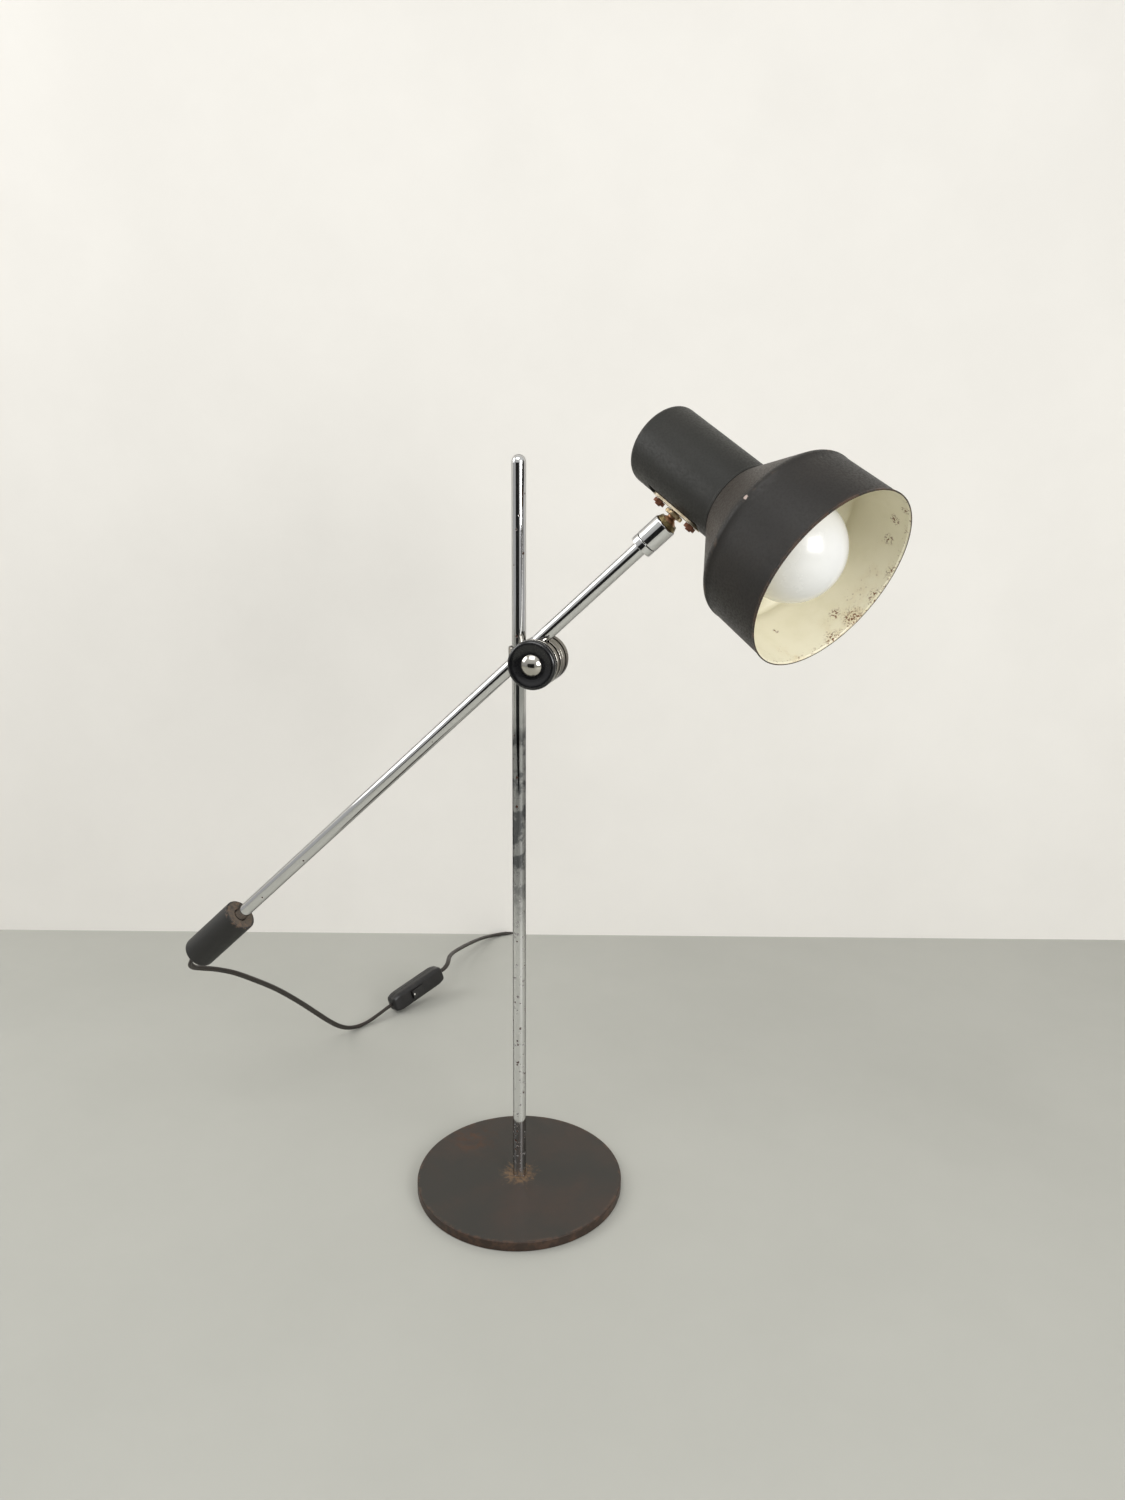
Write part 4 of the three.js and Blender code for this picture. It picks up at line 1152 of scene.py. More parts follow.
@dataclass(frozen=True)
class WornMetal:
    """Bare, plated or rusted small metal with uneven colour."""

    name: str
    colour: Colour
    second: Colour
    roughness: float = 0.4
    rust: float = 0.3
    scale: float = 240.0
    metallic: float = 1.0

    def material(self) -> Material:
        """Two tones in patches, with rust over a share of the surface.

        Returns:
            The material.
        """
        made = Surface(self.name)
        patch = made.mottle(self.scale, 0.35, 0.65)
        rust = made.mottle(self.scale * 1.6, 0.72 - 0.5 * self.rust, 0.8 - 0.4 * self.rust)
        base = made.mix(patch, self.colour, self.second)
        made.colour(made.mix(made.both(rust, 0.8), base, RUST))
        made.metal(made.both(made.rest(made.both(rust, 0.85)), self.metallic))
        made.rough(self.roughness, 0.9, made.either(made.both(patch, 0.25), rust))
        made.bump(made.either(rust, made.effect(EFFECTS.grain, Scale=1400.0)), 0.3, 0.0002)
        return made.material


@dataclass(frozen=True)
class BasePaint:
    """The base's dark paint, worn matt grey-brown, rusty round its rim and at the pole's foot."""

    name: str = "base_paint"
    colour: Colour = linear(47, 45, 41)
    red: Colour = linear(60, 48, 41)
    side: Colour = linear(50, 39, 32)
    streak: Colour = linear(126, 100, 74)
    rim: float = 0.0825
    blotch: Point = (-0.052, 0.034, 0.008)
    rust: Colour = linear(96, 70, 54)
    edge_rust: Colour = linear(88, 66, 52)
    side_rust: Colour = linear(82, 60, 47)
    dust: Colour = linear(176, 171, 160)

    def material(self) -> Material:
        """Quiet grey-brown top, rust at the rear left, dark rusty side, tan streaks round the pole's foot.

        Returns:
            The material.
        """
        made = Surface(self.name, Specular_IOR_Level=0.3)
        patch = made.mottle(16.0, 0.4, 0.75, 4.0)
        base = made.mix(made.both(patch, 0.9), self.colour, self.red)
        away = made.vector("DISTANCE", made.position, self.blotch, output=1)
        torn = made.mottle(120.0, 0.46, 0.6, 7.0)
        blotch = made.both(made.rest(made.ramp(away, 0.004, 0.03)), torn)
        base = made.mix(made.both(blotch, 0.4), base, self.rust)
        edge = made.effect(EFFECTS.around, From=self.rim - 0.0035, To=self.rim - 0.0008)
        base = made.mix(made.both(edge, torn, 0.6), base, self.edge_rust)
        side = made.effect(EFFECTS.around, From=self.rim - 0.0012, To=self.rim - 0.0004)
        base = made.mix(side, base, self.side)
        base = made.mix(made.both(side, torn, 0.5), base, self.side_rust)
        direction = made.vector("NORMALIZE", made.position)
        ray = made.add("TexNoise", Vector=direction, Scale=6.0, Detail=5.0, Roughness=0.75)
        reach = made.maths("MULTIPLY", made.maths("SUBTRACT", ray.outputs[0], 0.2), 0.052)
        distance = made.effect(EFFECTS.around, 1)
        foot = made.rest(made.ramp(distance, made.maths("MULTIPLY", reach, 0.5), reach))
        streaks = made.both(foot, made.mottle(260.0, 0.25, 0.6))
        base = made.mix(made.both(streaks, 0.6), base, self.streak)
        dust = made.specks(70.0, 0.06, 0.06)
        made.colour(made.mix(made.both(dust, 0.7), base, self.dust))
        made.rough(0.46, 0.75, made.either(streaks, blotch))
        made.bump(made.effect(EFFECTS.grain, Scale=1500.0, Coarse=0.5), 0.12, 0.0002)
        return made.material


@dataclass(frozen=True)
class ShadePaint:
    """The shade's and neck's charcoal paint with its fine texture, rubbed at edges."""

    name: str
    colour: Colour = linear(66, 62, 58)
    brown: Colour = linear(84, 74, 64)
    origin: Point = (0.0, 0.0, 0.0)
    axis: Point = (0.0, 0.0, 1.0)
    brown_from: float = 0.3
    brown_to: float = 0.31
    rim_at: float = 9.0
    crease_at: float = 9.0
    chip: Point = (9.0, 9.0, 9.0)
    specks: float = 0.02
    grained: Colour = linear(38, 36, 34)
    rubbed: Colour = linear(104, 86, 70)
    rim_rust: Colour = linear(78, 58, 44)
    speck: Colour = linear(150, 145, 136)
    bare: Colour = linear(178, 160, 152)

    def material(self) -> Material:
        """Charcoal with grain, a browner cone, a rubbed crease with a bare chip, and rust at the rim.

        Returns:
            The material.
        """
        made = Surface(self.name, Specular_IOR_Level=0.28)
        grain = made.effect(EFFECTS.grain, Scale=1500.0, Coarse=0.4)
        patch = made.mottle(26.0, 0.4, 0.7, 4.0)
        fine = made.mottle(700.0, 0.4, 0.62, 3.0)
        line = {"Origin": self.origin, "Axis": self.axis}
        cone = made.rest(made.effect(EFFECTS.near, **line, From=self.brown_from, To=self.brown_to))
        brown = made.either(made.both(cone, 0.85), made.both(patch, 0.2))
        base = made.mix(brown, self.colour, self.brown)
        base = made.mix(made.both(fine, 0.12), base, self.grained)
        crease = made.effect(EFFECTS.near, 1, **line)
        beside = made.maths("ABSOLUTE", made.maths("SUBTRACT", crease, self.crease_at))
        rubbed = made.both(made.rest(made.ramp(beside, 0.0004, 0.0022)),
                           made.mottle(90.0, 0.5, 0.66))
        base = made.mix(made.both(rubbed, 0.45), base, self.rubbed)
        rim = made.both(made.effect(EFFECTS.near, **line, From=self.rim_at - 0.0035, To=self.rim_at),
                        made.mottle(200.0, 0.38, 0.6))
        base = made.mix(made.both(rim, 0.8), base, self.rim_rust)
        specks = made.specks(170.0, self.specks, 0.1)
        base = made.mix(made.both(specks, 0.6), base, self.speck)
        away = made.vector("DISTANCE", made.position, self.chip, output=1)
        wobble = made.both(made.mottle(600.0, 0.2, 0.8), 0.0012)
        bare = made.rest(made.ramp(made.maths("SUBTRACT", away, wobble), 0.0005, 0.0011))
        made.colour(made.mix(bare, base, self.bare))
        made.metal(made.both(bare, 0.2))
        made.rough(0.42, 0.6, made.both(fine, made.rest(bare)))
        made.bump(made.maths("ADD", grain, made.both(made.rest(bare), 1.5)), 0.14, 0.0002)
        return made.material


@dataclass(frozen=True)
class Enamel:
    """The shade's pale inside, with rust specks that thicken towards the rim."""

    name: str
    origin: Point
    axis: Point
    rim_at: float
    colour: Colour = linear(240, 234, 210)
    spots: tuple[tuple[Point, float], ...] = ()
    second: Colour = linear(222, 216, 184)
    tan: Colour = linear(206, 180, 128)
    rust: Colour = linear(120, 74, 40)

    def stains(self, made: Surface) -> Socket:
        """The rust stains at their own places: each fades out from a third of its radius on.

        Args:
            made: The material in the making.

        Returns:
            A mask, 1 where the enamel is rusted through.
        """
        torn = made.mottle(760.0, 0.5, 0.57, 6.0)
        mask = made.maths("MULTIPLY", torn, 0.0)
        for place, radius in self.spots:
            away = made.vector("DISTANCE", made.position, place, output=1)
            mask = made.either(mask, made.rest(made.ramp(away, radius * 0.3, radius)))
        return made.both(torn, mask)

    def material(self) -> Material:
        """Cream enamel, slightly uneven, with brown specks and stains near the rim.

        Returns:
            The material.
        """
        made = Surface(self.name, Coat_Weight=0.25, Coat_Roughness=0.3)
        line = {"Origin": self.origin, "Axis": self.axis}
        patch = made.mottle(40.0, 0.4, 0.7)
        base = made.mix(made.both(patch, 0.35), self.colour, self.second)
        near = made.effect(EFFECTS.near, **line, From=self.rim_at - 0.024, To=self.rim_at - 0.002)
        edge = made.effect(EFFECTS.near, **line, From=self.rim_at - 0.006, To=self.rim_at)
        cluster = made.mottle(38.0, 0.5, 0.66)
        specks = made.specks(640.0, 0.3, 0.34)
        fine = made.mottle(520.0, 0.56, 0.66, 6.0)
        spotted = made.both(specks, cluster, near)
        stained = made.both(made.either(made.both(edge, 0.9), made.both(near, cluster, 0.5)), fine)
        lone = made.both(made.specks(90.0, 0.04, 0.1), 0.8)
        base = made.mix(made.both(near, 0.35, cluster), base, self.tan)
        rust = made.either(made.either(spotted, stained), made.either(lone, self.stains(made)))
        made.colour(made.mix(rust, base, self.rust))
        made.rough(0.34, 0.8, rust)
        made.bump(made.rest(rust), 0.2, 0.0002)
        return made.material


@dataclass(frozen=True)
class Opal:
    """The bulb's white opal glass."""

    name: str = "opal_bulb"

    def material(self) -> Material:
        """Smooth white with a clear gloss and a faint cloudiness.

        Returns:
            The material.
        """
        made = Surface(self.name, Coat_Weight=0.5, Coat_Roughness=0.16)
        cloud = made.mottle(30.0, 0.3, 0.8)
        made.colour(made.mix(cloud, linear(232, 232, 230), linear(226, 226, 224)))
        made.rough(0.22, 0.3, cloud)
        return made.material


@dataclass(frozen=True)
class Moulded:
    """Moulded plastic, bakelite, rubber or PVC: smooth or grained, with dust and a slight unevenness."""

    name: str
    colour: Colour
    second: Colour
    roughness: float = 0.4
    span: float = 0.15
    grain: float = 0.15
    grain_scale: float = 1600.0
    dust: float = 0.0
    coat: float = 0.0

    def material(self) -> Material:
        """Two close tones, fine grain and light dust.

        Returns:
            The material.
        """
        made = Surface(self.name, Coat_Weight=self.coat, Coat_Roughness=0.08)
        patch = made.mottle(120.0, 0.35, 0.7)
        base = made.mix(patch, self.colour, self.second)
        dust = made.both(made.mottle(700.0, 0.55, 0.75, 2.0), self.dust)
        made.colour(made.mix(dust, base, linear(150, 145, 135)))
        made.rough(self.roughness, self.roughness + self.span, patch)
        made.bump(made.effect(EFFECTS.grain, Scale=self.grain_scale), self.grain, 0.0001)
        return made.material


@dataclass(frozen=True)
class WeightPaint:
    """The counterweight's matt black, grained, rubbed to beige rust on the face towards the arm."""

    name: str
    origin: Point
    axis: Point
    face_at: float

    def material(self) -> Material:
        """Black grain with rubbed specks, and a worn, beige-brown face and edge.

        Returns:
            The material.
        """
        made = Surface(self.name)
        line = {"Origin": self.origin, "Axis": self.axis}
        grain = made.effect(EFFECTS.grain, Scale=1300.0, Coarse=0.6)
        fine = made.mottle(600.0, 0.45, 0.65, 3.0)
        base = made.mix(made.both(fine, 0.3), linear(32, 31, 29), linear(26, 25, 24))
        face = made.both(
            made.effect(EFFECTS.near, **line, From=self.face_at - 0.0007, To=self.face_at - 0.0002),
            made.rest(made.effect(EFFECTS.around, **line, From=0.0112, To=0.0122)))
        worn = made.both(face, made.mottle(200.0, 0.2, 0.5, 4.0))
        base = made.mix(worn, base, linear(84, 74, 64))
        edge = made.both(
            made.effect(EFFECTS.near, **line, From=self.face_at - 0.003, To=self.face_at - 0.0008),
            made.mottle(330.0, 0.52, 0.6))
        made.colour(made.mix(made.both(edge, 0.7), base, linear(104, 84, 68)))
        made.rough(0.6, 0.85, worn)
        made.bump(grain, 0.5, 0.00025)
        return made.material


@dataclass(frozen=True)
class Felt:
    """The green felt under the base."""

    name: str = "base_felt_cloth"

    def material(self) -> Material:
        """Short fibres: fine noise in colour and height.

        Returns:
            The material.
        """
        made = Surface(self.name, Sheen_Weight=0.4, Sheen_Roughness=0.6)
        fibre = made.mottle(1800.0, 0.3, 0.7, 4.0)
        made.colour(made.mix(fibre, linear(38, 54, 42), linear(60, 78, 62)))
        made.rough(0.85, 0.95, fibre)
        made.bump(fibre, 0.6, 0.0004)
        return made.material


# Sub-assemblies


@dataclass
class Base:
    """Felt and round steel disc."""

    radius: float = 82.5
    height: float = 8.0
    floor: float = 2.2
    felt: float = 1.5
    felt_inset: float = 2.5
    recess: float = 11.0
    bore: float = 4.3
    seat: float = 0.1

    def build(self, paint: Material, cloth: Material) -> None:
        """Makes the disc, hollow under its middle, and the felt below it.

        Args:
            paint: Finish of the disc.
            cloth: Finish of the felt.
        """
        underside = self.felt + self.seat
        skirt = self.radius - self.felt_inset + self.seat
        outline = rounded([
            [self.recess, underside], [skirt, underside], [skirt, self.seat], [self.radius, self.seat],
            [self.radius, self.height], [self.bore, self.height],
            [self.bore, self.height - self.floor], [self.recess, self.height - self.floor],
        ], 0.9, loop=True, steps=6)
        disc = turned("base_plate", outline, np.eye(4), turn=160, loop=True)
        placed(disc, Body.BASE, Slot.BASE_STEEL, paint, "base_disc")
        outline = rounded(rod(self.radius - self.felt_inset, 0, self.felt), 0.3)
        felt = turned("base_cloth", outline, np.eye(4), turn=96)
        placed(felt, Body.BASE, Slot.FELT, cloth, "base_felt")


@dataclass
class Column:
    """The pole with its rounded cap; the nut and washer under the base keep their CAD shapes."""

    radius: float = 5.0
    wall: float = 1.0
    top: float = 574.0
    cap: float = 5.0
    plug: float = 8.0
    foot: float = 8.1
    stud_radius: float = 4.0
    stud_foot: float = 1.9
    solid_foot: float = 12.0
    trim: float = 0.05
    clearance: float = 0.3
    cap_gap: float = 0.1

    def build(self, chrome: Material) -> None:
        """Makes the pole and its cap as turned pieces.

        Args:
            chrome: Finish of both.
        """
        shoulder, cap_foot = self.foot, self.top - self.cap
        inner = self.radius - self.wall
        outline = rounded([
            [0, self.stud_foot], [self.stud_radius, self.stud_foot], [self.stud_radius, shoulder],
            [self.radius, shoulder], [self.radius, cap_foot], [inner, cap_foot],
            [inner, shoulder + self.solid_foot], [0, shoulder + self.solid_foot],
        ], 0.25)
        placed(turned("pole_tube", outline, np.eye(4), turn=64), Body.COLUMN, Slot.CHROME, chrome, "pole")
        across, spring = self.radius - self.trim, self.top - self.radius + self.trim
        plug, rim = inner - self.clearance, cap_foot + self.cap_gap
        dome = arc(across, spring, 0, 90)[:-1]
        side = rounded([[0, cap_foot - self.plug], [plug, cap_foot - self.plug], [plug, rim], [across, rim],
                        [across, spring]], 0.25)[:-1]
        outline = np.vstack([side, dome, [[0, self.top]]])
        placed(turned("pole_end", outline, np.eye(4), turn=64), Body.COLUMN, Slot.CHROME, chrome, "pole_cap")


@dataclass
class Clamp:
    """The pinch clamp on the pole, its bolt, the two grooved discs that hold the arm, and the knob."""

    pole_radius: float = 5.0
    clearance: float = 0.3
    ear_radius: float = 17.25
    ear_front: float = 6.6
    ear_back: float = 7.5
    slot: float = 3.0
    loop_radius: float = 7.5
    loop_half: float = 8.0
    bolt_radius: float = 3.0
    rear_disc: tuple[float, float] = (6.9, 12.5)
    front_disc: tuple[float, float] = (16.5, 21.5)
    knob_back: float = 21.8
    knob_radius: float = 17.5
    knob_depth: float = 7.4
    hub_radius: float = 9.2
    dish_depth: float = 1.5
    insert_radius: float = 5.0
    dome_radius: float = 7.5
    dome_rise: float = 3.2
    cut_over: float = 2.0

    def disc(self, name: str, low: float, high: float, edge: float = 0.6) -> Object:
        """A round disc on the bolt with rounded edges.

        Args:
            name: Its name.
            low: How far in front of the bolt's middle its rear face lies.
            high: The same of its front face.
            edge: How far from its edges the rounding starts.

        Returns:
            The disc.
        """
        bore = self.bolt_radius + self.clearance
        outline = rounded(ring(bore, self.ear_radius, low, high), edge, loop=True)
        return turned(name, outline, POSE.bolt(), turn=128, loop=True)

    def build(self, chrome: Material, nickel: Material, bakelite: Material) -> None:
        """Makes every visible piece of the clamp.

        Args:
            chrome: Finish of the plated pieces.
            nickel: Finish of the bolt.
            bakelite: Finish of the knob.
        """
        self.build_ears(chrome)
        self.build_jaws(chrome)
        self.build_bolt(nickel)
        self.build_knob(bakelite, chrome)

    def build_ears(self, chrome: Material) -> None:
        """Joins the ears to the loop round the pole, then cuts the slot and the bore.

        Args:
            chrome: Their finish.
        """
        ears = self.disc("clamp_ears", -self.ear_back, self.ear_front)
        outline = rounded(rod(self.loop_radius, -self.loop_half, self.loop_half), 0.8)
        loop = turned("clamp_loop", outline, POSE.clamp(), turn=64)
        reach = 2 * self.loop_radius
        front = rectangle(-reach, -reach, reach, -self.ear_front)
        carved(loop, prism("front_cut", front, -reach, reach, POSE.clamp()))
        carved(ears, loop, operation="UNION")
        far = POSE.bolt_offset + self.ear_radius + self.cut_over
        tall = self.ear_radius + self.cut_over
        slot = rectangle(0, -self.slot / 2, far, self.slot / 2)
        bore = rod(self.pole_radius + self.clearance, -tall, tall)
        carved(ears, prism("slot_cut", slot, -tall, tall, POSE.clamp()),
               turned("bore_cut", bore, POSE.clamp(), turn=48))
        placed(ears, Body.CLAMP, Slot.CHROME, chrome, "pole_clamp")

    def build_jaws(self, chrome: Material) -> None:
        """Cuts the arm's groove into both discs.

        Args:
            chrome: Their finish.
        """
        reach = self.ear_radius + self.cut_over
        groove = rod(self.pole_radius + self.clearance, -reach, reach)
        for name, (low, high), node in (("disc_rear", self.rear_disc, "jaw_rear"),
                                        ("disc_front", self.front_disc, "jaw_front")):
            disc = self.disc(name, low, high, edge=0.45)
            tool = turned("groove_cut", groove, POSE.arm(), turn=64)
            placed(carved(disc, tool), Body.JAWS, Slot.CHROME, chrome, node)

    def build_bolt(self, nickel: Material) -> None:
        """The bolt, its hexagonal head behind the clamp."""
        placed(copied("clamp_bolt", "clamp_screw", 0.35), Body.CLAMP, Slot.NICKEL, nickel, "clamp_bolt")

    def build_knob(self, bakelite: Material, chrome: Material) -> None:
        """The dished knob as one turned outline, and the dome in its middle.

        Args:
            bakelite: Finish of the knob.
            chrome: Finish of the dome.
        """
        bore = self.insert_radius + self.clearance
        floor = self.knob_back + self.knob_depth - self.dish_depth
        rim = np.array([[0.885, 0.30], [0.965, 0.42], [0.995, 0.56], [1, 0.68], [0.985, 0.82], [0.945, 0.93],
                        [0.89, 1], [0.80, 0.975], [0.68, 0.88], [0.56, 0.81]])
        rim = np.column_stack([rim[:, 0] * self.knob_radius, self.knob_back + rim[:, 1] * self.knob_depth])
        smooth = spline(np.column_stack([rim, np.zeros(len(rim))]), 0.5)[:, :2]
        hub = [[bore, floor], [bore, self.knob_back], [self.hub_radius, self.knob_back], rim[0]]
        outline = np.vstack([rounded(hub, 0.4)[:-1], smooth, [[self.dome_radius + 0.5, floor]]])
        knob = turned("knob_body", outline, POSE.bolt(), turn=128, loop=True)
        placed(knob, Body.KNOB, Slot.BAKELITE, bakelite, "knob")
        foot = floor + self.clearance
        sphere = (self.dome_radius**2 + self.dome_rise**2) / (2 * self.dome_rise)
        top = foot + 0.6 + self.dome_rise
        reach = math.degrees(math.asin(self.dome_radius / sphere))
        dome = arc(sphere, top - sphere, 90 - reach, 90, 16)[:-1]
        edge = [[0, foot], [self.dome_radius - 0.15, foot], [self.dome_radius, foot + 0.15]]
        button = turned("knob_button", np.vstack([edge, dome, [[0, top]]]), POSE.bolt(), turn=64)
        placed(button, Body.KNOB, Slot.CHROME, chrome, "knob_dome")


@dataclass
class Arm:
    """The arm's tube, the collar below the swivel, the counterweight and its grommet."""

    radius: float = 5.0
    wall: float = 0.9
    clearance: float = 0.3
    rear: float = 384.5
    front: float = 119.2
    collar: tuple[float, float] = (108.1, 113.1)
    collar_radius: float = 8.3
    weight_face: float = 333.05
    weight_end: float = 391.7
    weight_radius: float = 13.25
    weight_round: float = 4.2
    neck: float = 5.7
    grommet_radius: float = 4.5
    grommet_flange: float = 6.3
    grommet_rim: float = 1.4
    flex_radius: float = 2.5

    def build(self, chrome: Material, paint: Material, rubber: Material) -> None:
        """Makes the four turned pieces on the arm's axis.

        Args:
            chrome: Finish of the tube and collar.
            paint: Finish of the weight.
            rubber: Finish of the grommet.
        """
        place = POSE.arm()
        outline = rounded(ring(self.radius - self.wall, self.radius, -self.rear, self.front), 0.2, loop=True)
        pipe = turned("arm_pipe", outline, place, turn=64, loop=True)
        placed(pipe, Body.ARM, Slot.CHROME, chrome, "arm_tube")
        bore = self.radius + self.clearance
        outline = rounded(ring(bore, self.collar_radius, *self.collar), 0.4, loop=True)
        collar = turned("arm_collar", outline, place, turn=80, loop=True)
        placed(collar, Body.ARM, Slot.CHROME, chrome, "ferrule_collar")
        hole = self.grommet_radius + self.clearance
        inner = -self.weight_end + self.neck
        end = np.radians(np.linspace(-90, 0, 9))
        middle = self.weight_radius - self.weight_round
        corner = np.column_stack([middle + self.weight_round * np.cos(end),
                                  -self.weight_end + self.weight_round * (1 + np.sin(end))])
        face = rounded([corner[-1], [self.weight_radius, -self.weight_face], [bore, -self.weight_face],
                        [bore, inner], [hole, inner], [hole, -self.weight_end], corner[0]], 0.5)
        weight = turned("arm_weight", np.vstack([corner, face[1:-1]]), place, turn=96, loop=True)
        placed(weight, Body.ARM, Slot.BLACK_PAINT, paint, "counterweight")
        low, flange = self.flex_radius + self.clearance, -self.weight_end - self.clearance
        end_at, seat = flange - self.grommet_rim, inner - self.clearance
        outline = rounded([
            [low, end_at], [self.grommet_flange - 0.4, end_at], [self.grommet_flange, flange - 0.5],
            [self.grommet_flange, flange], [self.grommet_radius, flange], [self.grommet_radius, seat],
            [low, seat],
        ], 0.35, loop=True)
        grommet = turned("lead_grommet", outline, place, turn=64, loop=True)
        placed(grommet, Body.ARM, Slot.RUBBER, rubber, "cord_grommet")


@dataclass
class Swivel:
    """The ball swivel: sleeve, ringed brass lip, ball stud and lobed lock nut."""

    sleeve_radius: float = 8.4
    sleeve_length: float = 17.2
    edge: float = 0.7
    socket: float = 11.1
    bore: float = 5.3
    channel: float = 3.4
    ball: float = 6.0
    clearance: float = 0.3
    lip_height: float = 3.2
    lip_foot: float = 7.9
    lip_top: float = 6.7
    rings: int = 3
    ring_depth: float = 0.22
    ring_sink: float = 0.3
    stud_radius: float = 3.0
    stud_bore: float = 2.0
    stud_end: float = 17.9
    nut_start: float = 6.4
    nut_across: float = 13.4
    nut_thickness: float = 3.3
    nut_lobes: int = 6
    lobe_depth: float = 0.06
    nut_points: int = 96

    def build(self, chrome: Material, brass: Material, copper: Material, nickel: Material) -> None:
        """Makes the sleeve and lip on the arm's line, and the stud and nut on the stud's.

        Args:
            chrome: Finish of the sleeve.
            brass: Finish of the lip.
            copper: Finish of the stud.
            nickel: Finish of the nut.
        """
        seat = self.ball + self.clearance
        down = math.degrees(math.acos(self.channel / seat))
        outside = rounded([
            [self.bore, -self.socket], [self.bore, -self.sleeve_length],
            [self.sleeve_radius, -self.sleeve_length], [self.sleeve_radius, 0], [seat, 0],
        ], self.edge)
        outline = np.vstack([outside, arc(seat, 0, 0, -down, 10)[1:], [[self.channel, -self.socket]]])
        barrel = turned("swivel_barrel", outline, POSE.sleeve(), turn=96, loop=True)
        placed(barrel, Body.SWIVEL, Slot.CHROME, chrome, "swivel_sleeve")
        height = np.linspace(self.clearance, self.lip_height, 8 * self.rings + 1)
        share = (height - self.clearance) / (self.lip_height - self.clearance)
        ripple = self.ring_depth * (0.5 + 0.5 * np.cos(2 * np.pi * self.rings * share))
        radius = self.lip_foot + (self.lip_top - self.lip_foot) * share - self.ring_sink + ripple
        low, high = (math.degrees(math.asin(z / seat)) for z in (self.clearance, self.lip_height))
        outline = np.vstack([np.column_stack([radius, height]), arc(seat, 0, high, low, 6)])
        lip = turned("swivel_ring", outline, POSE.sleeve(), turn=96, loop=True)
        placed(lip, Body.SWIVEL, Slot.BRASS, brass, "swivel_lip")
        first, last = (math.degrees(math.acos(r / self.ball)) for r in (self.stud_bore, self.stud_radius))
        outline = np.vstack([arc(self.ball, 0, -first, last, 20), [[self.stud_radius, self.stud_end],
                                                                   [self.stud_bore, self.stud_end]]])
        pin = turned("ball_pin", outline, POSE.stud(), turn=64, loop=True)
        placed(pin, Body.STUD, Slot.RUSTY_STEEL, copper, "ball_stud")
        placed(self.lobed_nut(), Body.STUD, Slot.RUSTY_STEEL, nickel, "lock_nut")

    def lobed_nut(self) -> Object:
        """The lock nut: r(v, h) = R (1 + d cos nv) e(h), where e rounds its two faces, with a hole.

        Returns:
            The nut.
        """
        v = np.linspace(0, 2 * np.pi, self.nut_points, endpoint=False)
        h = np.linspace(-1, 1, 15)
        edge = (1 - np.abs(h) ** 5) ** 0.5 * 0.32 + 0.68
        outer = (self.nut_across / 2 - 0.45) * (1 + self.lobe_depth * np.cos(self.nut_lobes * v))
        hole = np.full(self.nut_points, self.stud_radius + self.clearance)
        radius = np.vstack([hole, outer * edge[:, None], hole])
        middle = self.nut_start + self.nut_thickness / 2
        z = middle + self.nut_thickness / 2 * np.concatenate([[-1], h, [1]])
        grid = np.stack([radius * np.cos(v), radius * np.sin(v), z[:, None] + 0 * v], axis=2)
        faces = ring_faces(len(grid), self.nut_points, loop=True)
        return finished("lobed_nut", grid.reshape(-1, 3), faces, POSE.stud(), sharp=50)


